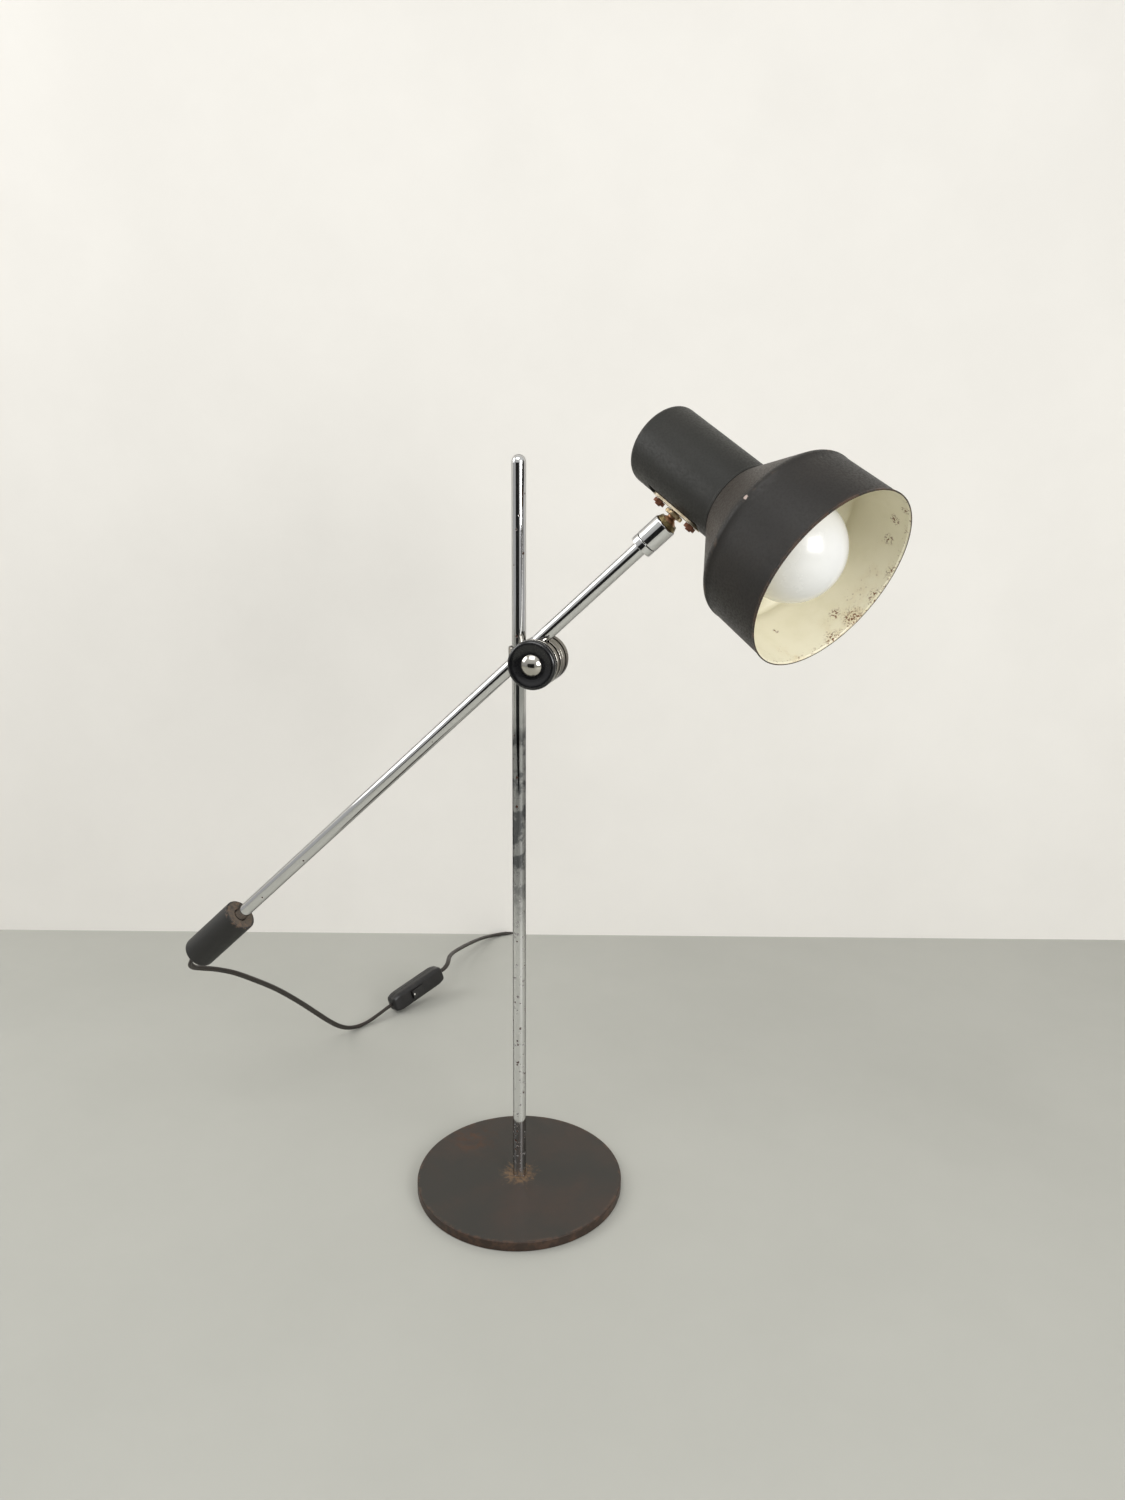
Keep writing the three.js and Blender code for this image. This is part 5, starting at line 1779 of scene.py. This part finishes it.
@dataclass
class Head:
    """Neck cover, bell shade and bulb; the bracket and lampholder come from their CAD nodes."""

    sheet: float = 0.8
    clearance: float = 0.3
    neck_radius: float = 28.46
    neck_back: float = 46.0
    neck_round: float = 4.5
    neck_mouth: float = 35.8
    bead: float = 0.2
    bead_length: float = 1.6
    flat_height: float = 26.62
    flat_length: float = 50.0
    collar_length: float = 8.0
    crease_at: float = 73.07
    crease_radius: float = 60.9
    crease_round: float = 3.0
    band_top: float = 60.3
    rim_at: float = 120.4
    rim_radius: float = 61.4
    hem: float = 0.5
    hem_length: float = 1.6
    bulb_radius: float = 33.9
    bulb_centre: float = 83.5
    shade_turn: int = 180
    bulb_tangent: float = 36.0
    bulb_pull: float = 15.0
    bulb_neck_pull: float = 13.0
    bulb_neck: float = 16.2
    bulb_neck_end: float = 30.0
    bulb_foot: float = 17.6
    bulb_foot_radius: float = 14.2
    glass: float = 0.9
    holes: tuple[tuple[float, float], ...] = ((3.3, 0.0), (2.3, -16.0), (2.3, 16.0))

    def walled(self, outline: Array, wall: float) -> Array:
        """The inner side of a wall.

        Each point moves inwards by w / (1 + n1.n2) (n1 + n2), where n1 and n2 are square to its two sides.

        Args:
            outline: Rows [radius, height] of the outside.
            wall: Its thickness w.

        Returns:
            The rows of the inside.
        """
        step = np.diff(outline, axis=0)
        normal = np.column_stack([step[:, 1], -step[:, 0]])
        normal /= np.linalg.norm(normal, axis=1, keepdims=True)
        before, after = np.vstack([normal[:1], normal]), np.vstack([normal, normal[-1:]])
        shift = (before + after) * wall / (1 + np.sum(before * after, axis=1, keepdims=True))
        inner = outline - shift
        inner[outline[:, 0] == 0, 0] = 0
        return inner

    def build(self, outside: Material, inside: Material, neck: Material, glass: Material) -> None:
        """Makes the painted sheet pieces and the bulb.

        Args:
            outside: The shade's paint.
            inside: Its enamel.
            neck: The neck cover's paint.
            glass: The bulb's glass.
        """
        self.build_shade(outside, inside)
        self.build_neck(neck)
        self.build_bulb(glass)

    def build_shade(self, outside: Material, inside: Material) -> None:
        """The spun shade, one outline outside and its offset inside, each with its own finish.

        Args:
            outside: Its paint.
            inside: Its enamel.
        """
        collar = self.neck_radius - self.sheet - self.clearance
        foot = [self.neck_radius, self.neck_mouth + self.clearance / 2]
        slope = math.atan2(self.crease_radius - foot[0], self.crease_at - foot[1])
        before = [self.crease_radius - self.crease_round * math.sin(slope),
                  self.crease_at - self.crease_round * math.cos(slope)]
        crease = bezier([before, [self.crease_radius + self.sheet / 2, self.crease_at + self.sheet / 2],
                         [self.band_top, self.crease_at + self.crease_round]], 10)
        hem = np.array([[self.rim_radius, self.rim_at - self.hem_length],
                        [self.rim_radius + self.hem * 0.7, self.rim_at - self.hem_length * 0.75],
                        [self.rim_radius + self.hem, self.rim_at - self.hem_length / 2],
                        [self.rim_radius + self.hem, self.rim_at]])
        outer = np.vstack([[[collar, self.neck_mouth - self.collar_length], [collar, foot[1]],
                            foot, [foot[0] + 0.6 * math.sin(slope), foot[1] + 0.6 * math.cos(slope)]], crease,
                           [[self.band_top + (self.rim_radius - self.band_top) * 0.1,
                             self.crease_at + self.crease_round + 4.4]], hem])
        inner = self.walled(outer, self.sheet)
        outline = np.vstack([outer, inner[::-1]])
        shade = turned("shade_bell", outline, POSE.shade(), turn=self.shade_turn, loop=True,
                       sharp=38)
        placed(shade, Body.HEAD, Slot.SHADE_PAINT, outside, "shade")
        shade.data.materials.append(inside)
        rows = len(outline)
        band = np.repeat(np.arange(rows), self.shade_turn)
        on_inside = (band >= len(outer)) & (band < rows - 1)
        indices = np.zeros(len(shade.data.polygons), np.int32)
        indices[: len(band)] = on_inside.astype(np.int32)
        shade.data.polygons.foreach_set("material_index", indices)

    def build_neck(self, paint: Material) -> None:
        """The neck cover: a deep cup with a pressed flat and a rolled bead at its mouth.

        Args:
            paint: Its finish.
        """
        end = np.radians(np.linspace(-90, 0, 11))
        centre = self.neck_radius - self.neck_round
        corner = np.column_stack([centre + self.neck_round * np.cos(end),
                                  -self.neck_back + self.neck_round * (1 + np.sin(end))])
        mouth = self.neck_mouth
        bead = bezier([[self.neck_radius, mouth - 2 * self.bead_length],
                       [self.neck_radius, mouth - self.bead_length],
                       [self.neck_radius + self.bead, mouth - self.bead_length]], 4)
        outer = np.vstack([[[0, -self.neck_back]], corner, bead, [[self.neck_radius + self.bead, mouth]]])
        shell = turned("neck_shell", np.vstack([outer, [[0, mouth]]]), POSE.shade(), turn=128)
        hollow = self.walled(outer, self.sheet)
        hollow[-1] = [self.neck_radius - self.sheet, mouth + 2]
        core = turned("neck_hollow", np.vstack([hollow, [[0, mouth + 2]]]), POSE.shade(), turn=128)
        reach = 2 * self.neck_radius
        cuts = ((shell, self.flat_height, self.flat_length),
                (core, self.flat_height - self.sheet, self.flat_length + 2 * self.sheet))
        for piece, height, length in cuts:
            flat = rectangle(height, -reach, height + reach, reach)
            carved(piece, prism("flat_cut", flat, -length / 2, length / 2, POSE.shade()))
        carved(shell, core)
        for radius, z in self.holes:
            place = POSE.shade() @ shifted(z=z) @ rotated(y=90)
            carved(shell, turned("hole_cut", rod(radius, 0, reach), place, turn=32))
        placed(shell, Body.HEAD, Slot.SHADE_PAINT, paint, "neck_cover")

    def build_bulb(self, glass: Material) -> None:
        """The bulb: a sphere that runs into a narrow neck by one Bezier curve, with its wall.

        Args:
            glass: Its finish.
        """
        tangent = math.radians(self.bulb_tangent)
        on_sphere = np.array([self.bulb_radius * math.cos(tangent),
                              self.bulb_centre - self.bulb_radius * math.sin(tangent)])
        pull = self.bulb_pull * np.array([math.sin(tangent), math.cos(tangent)])
        shoulder = bezier([[self.bulb_neck, self.bulb_neck_end],
                           [self.bulb_neck, self.bulb_neck_end + self.bulb_neck_pull],
                           on_sphere - pull, on_sphere], 20)
        ball = np.array(arc(self.bulb_radius, self.bulb_centre, -self.bulb_tangent, 90, 40)[1:])
        ball[-1, 0] = 0
        outer = np.vstack([[[self.bulb_foot_radius, self.bulb_foot]], shoulder, ball])
        outline = np.vstack([outer[::-1], self.walled(outer, self.glass)])
        piece = turned("bulb_globe", outline, POSE.shade(), turn=96)
        placed(piece, Body.HEAD, Slot.OPAL_GLASS, glass, "bulb_glass")


@dataclass
class Switch:
    """The inline switch: two shells on a joint line, a rocker with a white dot, screws behind."""

    centre: tuple[float, float, float] = (-199.95, 261.95, 17.6)
    heading: float = 61.2
    pitch: float = 13.18
    roll: float = 80.0
    length: float = 68.6
    width: float = 19.0
    thickness: float = 16.0
    joint: float = 0.3
    taper: float = 11.0
    end_width: float = 13.5
    squareness: float = 0.36
    rocker_length: float = 15.0
    rocker_width: float = 8.6
    rocker_shift: float = -4.0
    end_round: float = 2.4
    end_share: float = 0.35
    points: int = 72
    sink_radius: float = 2.9
    sink_at: float = -5.99
    pocket_gap: tuple[float, float] = (0.6, 0.3)
    pocket_depth: float = 6.6
    edge: tuple[float, int, float] = (0.35, 3, 50)
    dot_along: float = 5.2
    dot_out: float = 9.6
    screw_places: tuple[float, float] = (-20.0, 20.0)

    def place(self) -> Array:
        """The switch's frame: +X along the lead, +Z out of the rocker."""
        return shifted(*self.centre) @ rotated(self.roll, -self.pitch, self.heading)

    def dot(self) -> Point:
        """Where the rocker's white dot is, in the lamp's frame, in metres."""
        spot = moved(self.place(), np.array([[self.rocker_shift - self.dot_along, 0.0, self.dot_out]]))
        return tuple((spot[0] * MM).tolist())

    def block(self, name: str) -> Object:
        """The whole body as rings that shrink towards the rounded ends.

        A ring is y = w(x) cos v, z = h(x) sin v with both waves squared.

        Args:
            name: Its name.

        Returns:
            The closed body.
        """
        half = self.length / 2
        share = np.sin(np.linspace(-np.pi / 2, np.pi / 2, 61))
        x = share * half
        ends = np.clip((half - np.abs(x)) / self.taper, 0, 1)
        ease = np.sin(ends * np.pi / 2) ** 0.9
        w = self.end_width / 2 + (self.width - self.end_width) / 2 * ease
        h = self.thickness / 2 * (0.76 + 0.24 * ease**0.8)
        past = np.clip((np.abs(x) - (half - self.end_round)) / self.end_round, 0, 1)
        cap = self.end_share + (1 - self.end_share) * np.sqrt(np.clip(1 - past**2, 0, 1))
        v = np.linspace(0, 2 * np.pi, self.points, endpoint=False)
        y, z = squared(np.cos(v), self.squareness), squared(np.sin(v), self.squareness)
        grid = np.stack([x[:, None] + 0 * v, (w * cap)[:, None] * y, (h * cap)[:, None] * z], axis=2)
        faces = tube_faces(len(x), self.points)
        return finished(name, grid.reshape(-1, 3), faces, self.place(), sharp=45)

    def build(self, plastic: Material, rocker: Material, nickel: Material) -> None:
        """Splits the body on its joint line, cuts the rocker's pocket and adds the rocker.

        Args:
            plastic: Finish of the shells.
            rocker: Finish of the rocker.
            nickel: Finish of the screws.
        """
        big = self.length
        box = rectangle(-big, -big, big, big)
        gap = self.joint / 2
        front = carved(self.block("switch_shell_front"), prism("half_cut", box, -big, gap, self.place()))
        back = carved(self.block("switch_shell_back"), prism("half_cut", box, -gap, big, self.place()))
        pocket_x = self.rocker_length / 2 + self.pocket_gap[0]
        pocket_y = self.rocker_width / 2 + self.pocket_gap[1]
        pocket = rectangle(self.rocker_shift - pocket_x, -pocket_y, self.rocker_shift + pocket_x, pocket_y)
        carved(front, prism("pocket_cut", pocket, self.thickness / 2 - self.pocket_depth, big, self.place()))
        placed(bevelled(front, *self.edge), Body.BASE, Slot.BLACK_PLASTIC, plastic, "switch_front")
        for side in self.screw_places:
            sink = rod(self.sink_radius, -big, self.sink_at)
            carved(back, turned("sink_cut", sink, self.place() @ shifted(x=side), turn=32))
        placed(bevelled(back, *self.edge), Body.BASE, Slot.BLACK_PLASTIC, plastic, "switch_back")
        key = copied("switch_rocker", "switch_key", 0.3, 3, 25)
        placed(key, Body.ROCKER, Slot.BLACK_PLASTIC, rocker, "switch_rocker")
        for number in (1, 2):
            node = f"switch_screw_{number}"
            placed(copied(node, f"switch_pin_{number}", 0.2), Body.BASE, Slot.NICKEL, nickel, node)


@dataclass(frozen=True)
class RockerPlastic:
    """Black plastic with the white dot that marks the rocker's end."""

    name: str
    dot: Point
    dot_radius: float = 0.0011

    def material(self) -> Material:
        """A round white spot at one place on black plastic.

        Returns:
            The material.
        """
        made = Surface(self.name)
        patch = made.mottle(200.0, 0.3, 0.7)
        away = made.vector("DISTANCE", made.position, self.dot, output=1)
        white = made.rest(made.ramp(away, self.dot_radius * 0.85, self.dot_radius))
        base = made.mix(patch, linear(26, 25, 25), linear(33, 31, 31))
        made.colour(made.mix(white, base, linear(236, 234, 226)))
        made.rough(0.32, 0.45, patch)
        made.bump(made.effect(EFFECTS.grain, Scale=1500.0), 0.1, 0.0001)
        return made.material


# Stage


@dataclass
class Studio:
    """Camera, lamps, pale floor and the wall behind."""

    lens: float = 26.4857
    sensor: float = 36.0
    distance: tuple[float, float, float] = (31.7855, -781.987, 570.198)
    down: float = 14.70595
    roll: float = 0.52627
    azimuth: float = 15.24567
    wall_at: float = 486.0
    wall_size: tuple[float, float] = (2400.0, 2600.0)
    floor_reach: float = 3000.0
    flag: tuple[float, float, float, float] = (-1300.0, 130.0, 640.0, -1100.0)

    def across(self, x: float, y: float, z: float) -> Array:
        """A point given across, away from and above the camera's heading, in the lamp's frame, in metres."""
        c, s = math.cos(math.radians(self.azimuth)), math.sin(math.radians(self.azimuth))
        return np.array([x * c - y * s, x * s + y * c, z]) * MM

    def build_camera(self) -> None:
        """The camera of the photograph: looking down by a few degrees, rolled by half a degree."""
        data = bpy.data.cameras.new("view")
        data.lens, data.sensor_width, data.sensor_fit = self.lens, self.sensor, "AUTO"
        data.clip_start, data.clip_end = 0.01, 20
        camera = linked("view", data)
        angle, down, roll = (math.radians(v) for v in (self.azimuth, self.down, self.roll))
        right = np.array([math.cos(angle), math.sin(angle), 0])
        ahead = np.array([-math.sin(angle) * math.cos(down), math.cos(angle) * math.cos(down),
                          -math.sin(down)])
        up = np.cross(right, ahead)
        turned_right = math.cos(roll) * right + math.sin(roll) * up
        turned_up = -math.sin(roll) * right + math.cos(roll) * up
        matrix = np.eye(4)
        matrix[:3, :3] = np.column_stack([turned_right, turned_up, -ahead])
        matrix[:3, 3] = self.across(*self.distance)
        camera.matrix_world = Matrix(matrix.tolist())
        bpy.context.scene.camera = camera

    def sheet(self, name: str, corners: Sequence[Sequence[float]], finish: Material) -> Object:
        """A flat stage surface.

        Args:
            name: Its name.
            corners: Its corners, each given across, away and above.
            finish: Its material.

        Returns:
            The surface, which isn't part of the lamp.
        """
        mesh = bpy.data.meshes.new(name)
        mesh.from_pydata([self.across(*corner).tolist() for corner in corners], [], [range(len(corners))])
        piece = linked(name, mesh)
        piece.data.materials.append(finish)
        return piece

    @staticmethod
    def finish(
        name: str, first: Colour, second: Colour, scale: float, rough: tuple[float, float]
    ) -> Surface:
        """A quiet finish for the stage.

        Args:
            name: The material's name.
            first: One of its two close tones.
            second: The other.
            scale: Scale of the patches.
            rough: The lower and the higher roughness.

        Returns:
            The material in the making.
        """
        made = Surface(name)
        patch = made.mottle(scale, 0.3, 0.7)
        made.colour(made.mix(patch, first, second))
        made.rough(*rough, patch)
        return made

    def build_floor(self) -> None:
        """A pale floor and a pale wall that only shows from its front."""
        far = self.floor_reach
        floor = self.finish("studio_floor", linear(170, 170, 163), linear(166, 166, 159), 3.0, (0.5, 0.6))
        self.sheet("floor", [(-far, -far, 0), (far, -far, 0), (far, far, 0), (-far, far, 0)], floor.material)
        wall = self.finish("studio_wall", linear(229, 226, 220), linear(225, 222, 216), 4.0, (0.8, 0.9))
        facing = wall.add("NewGeometry").outputs["Backfacing"]
        clear = wall.add("BsdfTransparent").outputs[0]
        choice = wall.fed("MixShader", {}, facing, wall.shader.outputs[0], clear)
        wall.feed(wall.output.inputs[0], choice.outputs[0])
        half, high = self.wall_size
        self.sheet("wall", [(-half, self.wall_at, 0), (half, self.wall_at, 0), (half, self.wall_at, high),
                            (-half, self.wall_at, high)], wall.material)

    def build_flag(self) -> None:
        """A black card in front that only shows in reflections, as dark lines on the chrome."""
        black = self.finish("studio_flag", linear(12, 12, 13), linear(16, 16, 17), 4.0, (0.9, 1.0))
        left, right, high, away = self.flag
        flag = self.sheet("flag", [(left, away, 0), (right, away, 0), (right, away, high),
                                   (left, away, high)], black.material)
        flag.visible_camera = flag.visible_diffuse = flag.visible_shadow = False

    def lamp(self, name: str, at: Array, towards: Array, size: tuple[float, float], watts: float) -> None:
        """A rectangular soft lamp.

        Args:
            name: Its name.
            at: Where it stands, in metres.
            towards: The point that it faces, in metres.
            size: Its two sides in metres.
            watts: Its power.
        """
        data = bpy.data.lights.new(name, "AREA")
        data.shape, data.size, data.size_y, data.energy = "RECTANGLE", *size, watts
        piece = linked(name, data)
        piece.location = Vector(at.tolist())
        piece.rotation_euler = Vector((towards - at).tolist()).to_track_quat("-Z", "Y").to_euler()

    def build_lights(self) -> None:
        """A high lamp, one at the left, one at the right front, a black flag and even surroundings."""
        for name, at, towards, size, watts in (
            ("high", (-350, -900, 1900), (60, 0, 380), (1.2, 0.8), 12),
            ("left", (-1425, 60, 1150), (-80, 0, 420), (0.8, 0.9), 9),
            ("front", (1030, -1300, 780), (170, -100, 510), (0.8, 0.7), 17),
        ):
            self.lamp(name, self.across(*at), self.across(*towards), size, watts)
        self.build_flag()
        world = bpy.data.worlds.new("surround")
        bpy.context.scene.world = world
        world.use_nodes = True
        tree = Tree(world.node_tree)
        direction = tree.add("TexCoord").outputs["Generated"]
        upward = tree.fed("SeparateXYZ", {}, direction).outputs[2]
        light = tree.mix(tree.ramp(upward, 0.0, 0.6), (0.42, 0.42, 0.425), (0.66, 0.66, 0.65))
        background = tree.fed("Background", {}, light, 1.0)
        tree.add("OutputWorld", Surface=background.outputs[0])
        bpy.context.scene.view_settings.view_transform = "Standard"

    def build(self) -> None:
        """Sets the whole stage."""
        self.build_camera()
        self.build_floor()
        self.build_lights()


def on_head(point: Sequence[float]) -> Point:
    """A point of the shade's frame in metres in the lamp's frame."""
    x, y, z = (moved(POSE.shade(), np.array([point], float))[0] * MM).tolist()
    return x, y, z


def dress(nodes: dict[str, Material]) -> None:
    """Gives carried-over CAD nodes their materials.

    Args:
        nodes: The material of each node, by name.
    """
    for name, finish in nodes.items():
        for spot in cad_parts[name].material_slots:
            spot.material = finish
        LOG.info("%s keeps its CAD shape", name)


def main() -> None:
    """Builds the stage, every piece and every finish in order."""
    logging.basicConfig(level=logging.INFO, format="%(name)s: %(message)s")
    Studio().build()
    shade_axis = tuple((POSE.shade()[:3, 2]).tolist())
    shade_origin = on_head((0, 0, 0))
    arm_axis = tuple((POSE.arm()[:3, 2]).tolist())
    arm_origin = tuple((POSE.arm()[:3, 3] * MM).tolist())

    pole_chrome = Chrome("pole_chrome", pit_share=0.03, pit_scale=420.0, worn_below=0.06,
                         wear_and_reflection_top=0.4).material()
    chrome = Chrome("clean_chrome", pit_share=0.004).material()
    disc_chrome = Chrome("disc_chrome", linear(196, 192, 184), roughness=0.12).material()
    nickel, rusty, copper, locking, nut_rust, brass = (WornMetal(*values).material() for values in (
        ("old_nickel", linear(190, 180, 160), linear(160, 146, 122), 0.32, 0.06),
        ("rusty_steel_worn", linear(138, 112, 90), linear(112, 84, 62), 0.5, 0.5),
        ("coppery_steel", linear(186, 150, 122), linear(150, 112, 84), 0.3, 0.16),
        ("lock_nut_nickel", linear(206, 190, 158), linear(172, 150, 116), 0.28, 0.08),
        ("nut_rust", linear(150, 104, 82), linear(126, 82, 62), 0.6, 0.45, 240.0, 0.55),
        ("old_brass", linear(150, 134, 96), linear(104, 90, 60), 0.34, 0.05),
    ))
    bakelite = Moulded("black_bakelite", linear(11, 11, 13), linear(15, 15, 17), 0.22, 0.08, 0.03, dust=0.01,
                       coat=0.2).material()
    rubber = Moulded("dark_rubber", linear(26, 24, 22), linear(34, 30, 27), 0.6, 0.15, 0.2).material()
    flex = Moulded("lead_pvc", linear(36, 30, 26), linear(44, 37, 31), 0.38, 0.15, 0.1, dust=0.03).material()
    plastic = Moulded("switch_plastic", linear(22, 21, 21), linear(28, 26, 26), 0.34, 0.12, 0.12,
                      dust=0.03).material()
    tie = Moulded("tie_band", linear(24, 24, 25), linear(32, 31, 31), 0.5, 0.1, 0.3).material()
    glass = Opal().material()

    Lead().build(flex, tie)
    switch = Switch()
    switch.build(plastic, RockerPlastic("rocker_plastic", switch.dot()).material(), nickel)
    Base().build(BasePaint().material(), Felt().material())
    Column().build(pole_chrome)
    Clamp().build(disc_chrome, nickel, bakelite)
    weight = WeightPaint("weight_paint", arm_origin, arm_axis, -Arm().weight_face * MM).material()
    Arm().build(chrome, weight, rubber)
    Swivel().build(chrome, brass, copper, locking)
    line = {"origin": shade_origin, "axis": shade_axis}
    outside = ShadePaint("shade_outside", linear(35, 33, 31), linear(60, 54, 48), **line, brown_from=0.066,
                         brown_to=0.074, rim_at=0.1204, crease_at=0.0735,
                         chip=on_head((-1.1, -60.9, 73.6))).material()
    stains = (((-43.7, 41.5, 107.5), 5.0), ((-53.2, 28.3, 108.5), 5.5), ((-58.0, 15.0, 116.0), 4.0),
              ((43.8, 40.8, 92.0), 2.6), ((5.3, 60.2, 116.0), 9.0), ((23.7, 55.8, 119.0), 8.0),
              ((-13.1, 59.2, 119.0), 7.0), ((-30.0, 53.0, 119.5), 6.0), ((11.0, 59.1, 106.0), 5.0))
    spots = tuple((on_head(place), radius * MM) for place, radius in stains)
    inside = Enamel("shade_inside", shade_origin, shade_axis, 0.1204, spots=spots).material()
    neck = ShadePaint("neck_outside", linear(37, 37, 34), linear(46, 42, 38), **line, brown_from=-0.05,
                      brown_to=-0.04, specks=0.04).material()
    Head().build(outside, inside, neck, glass)

    for node, name, finish, slot, width in (
        ("bracket_plate", "bracket_strip", nickel, Slot.NICKEL, 0.4),
        ("bracket_nut_1", "bracket_hex_1", nut_rust, Slot.RUSTY_STEEL, 0.3),
        ("bracket_nut_2", "bracket_hex_2", nut_rust, Slot.RUSTY_STEEL, 0.3),
        ("bracket_screw_1", "bracket_bolt_1", nut_rust, Slot.RUSTY_STEEL, 0.2),
        ("bracket_screw_2", "bracket_bolt_2", nut_rust, Slot.RUSTY_STEEL, 0.2),
        ("lampholder_strap", "holder_strap", nickel, Slot.NICKEL, 0.2),
    ):
        placed(copied(node, name, width), Body.HEAD, slot, finish, node)
    dress({
        "pole_washer": rusty, "pole_nut": rusty, "rocker_pin": nickel, "knob_insert": brass,
        "arm_flex": rubber, "stud_nut": nickel, "head_flex": rubber, "lampholder_nipple": brass,
        "nipple_nut": brass, "lampholder_cap": bakelite, "lampholder_body": bakelite,
        "lampholder_shell": brass, "lampholder_contact": brass, "bulb_cap": nickel,
        "bulb_insulator": bakelite, "bulb_contact": brass, "plug_relief": plastic, "plug_body": plastic,
        "plug_pin_1": nickel, "plug_pin_2": nickel,
    })


if __name__ == "__main__":
    main()
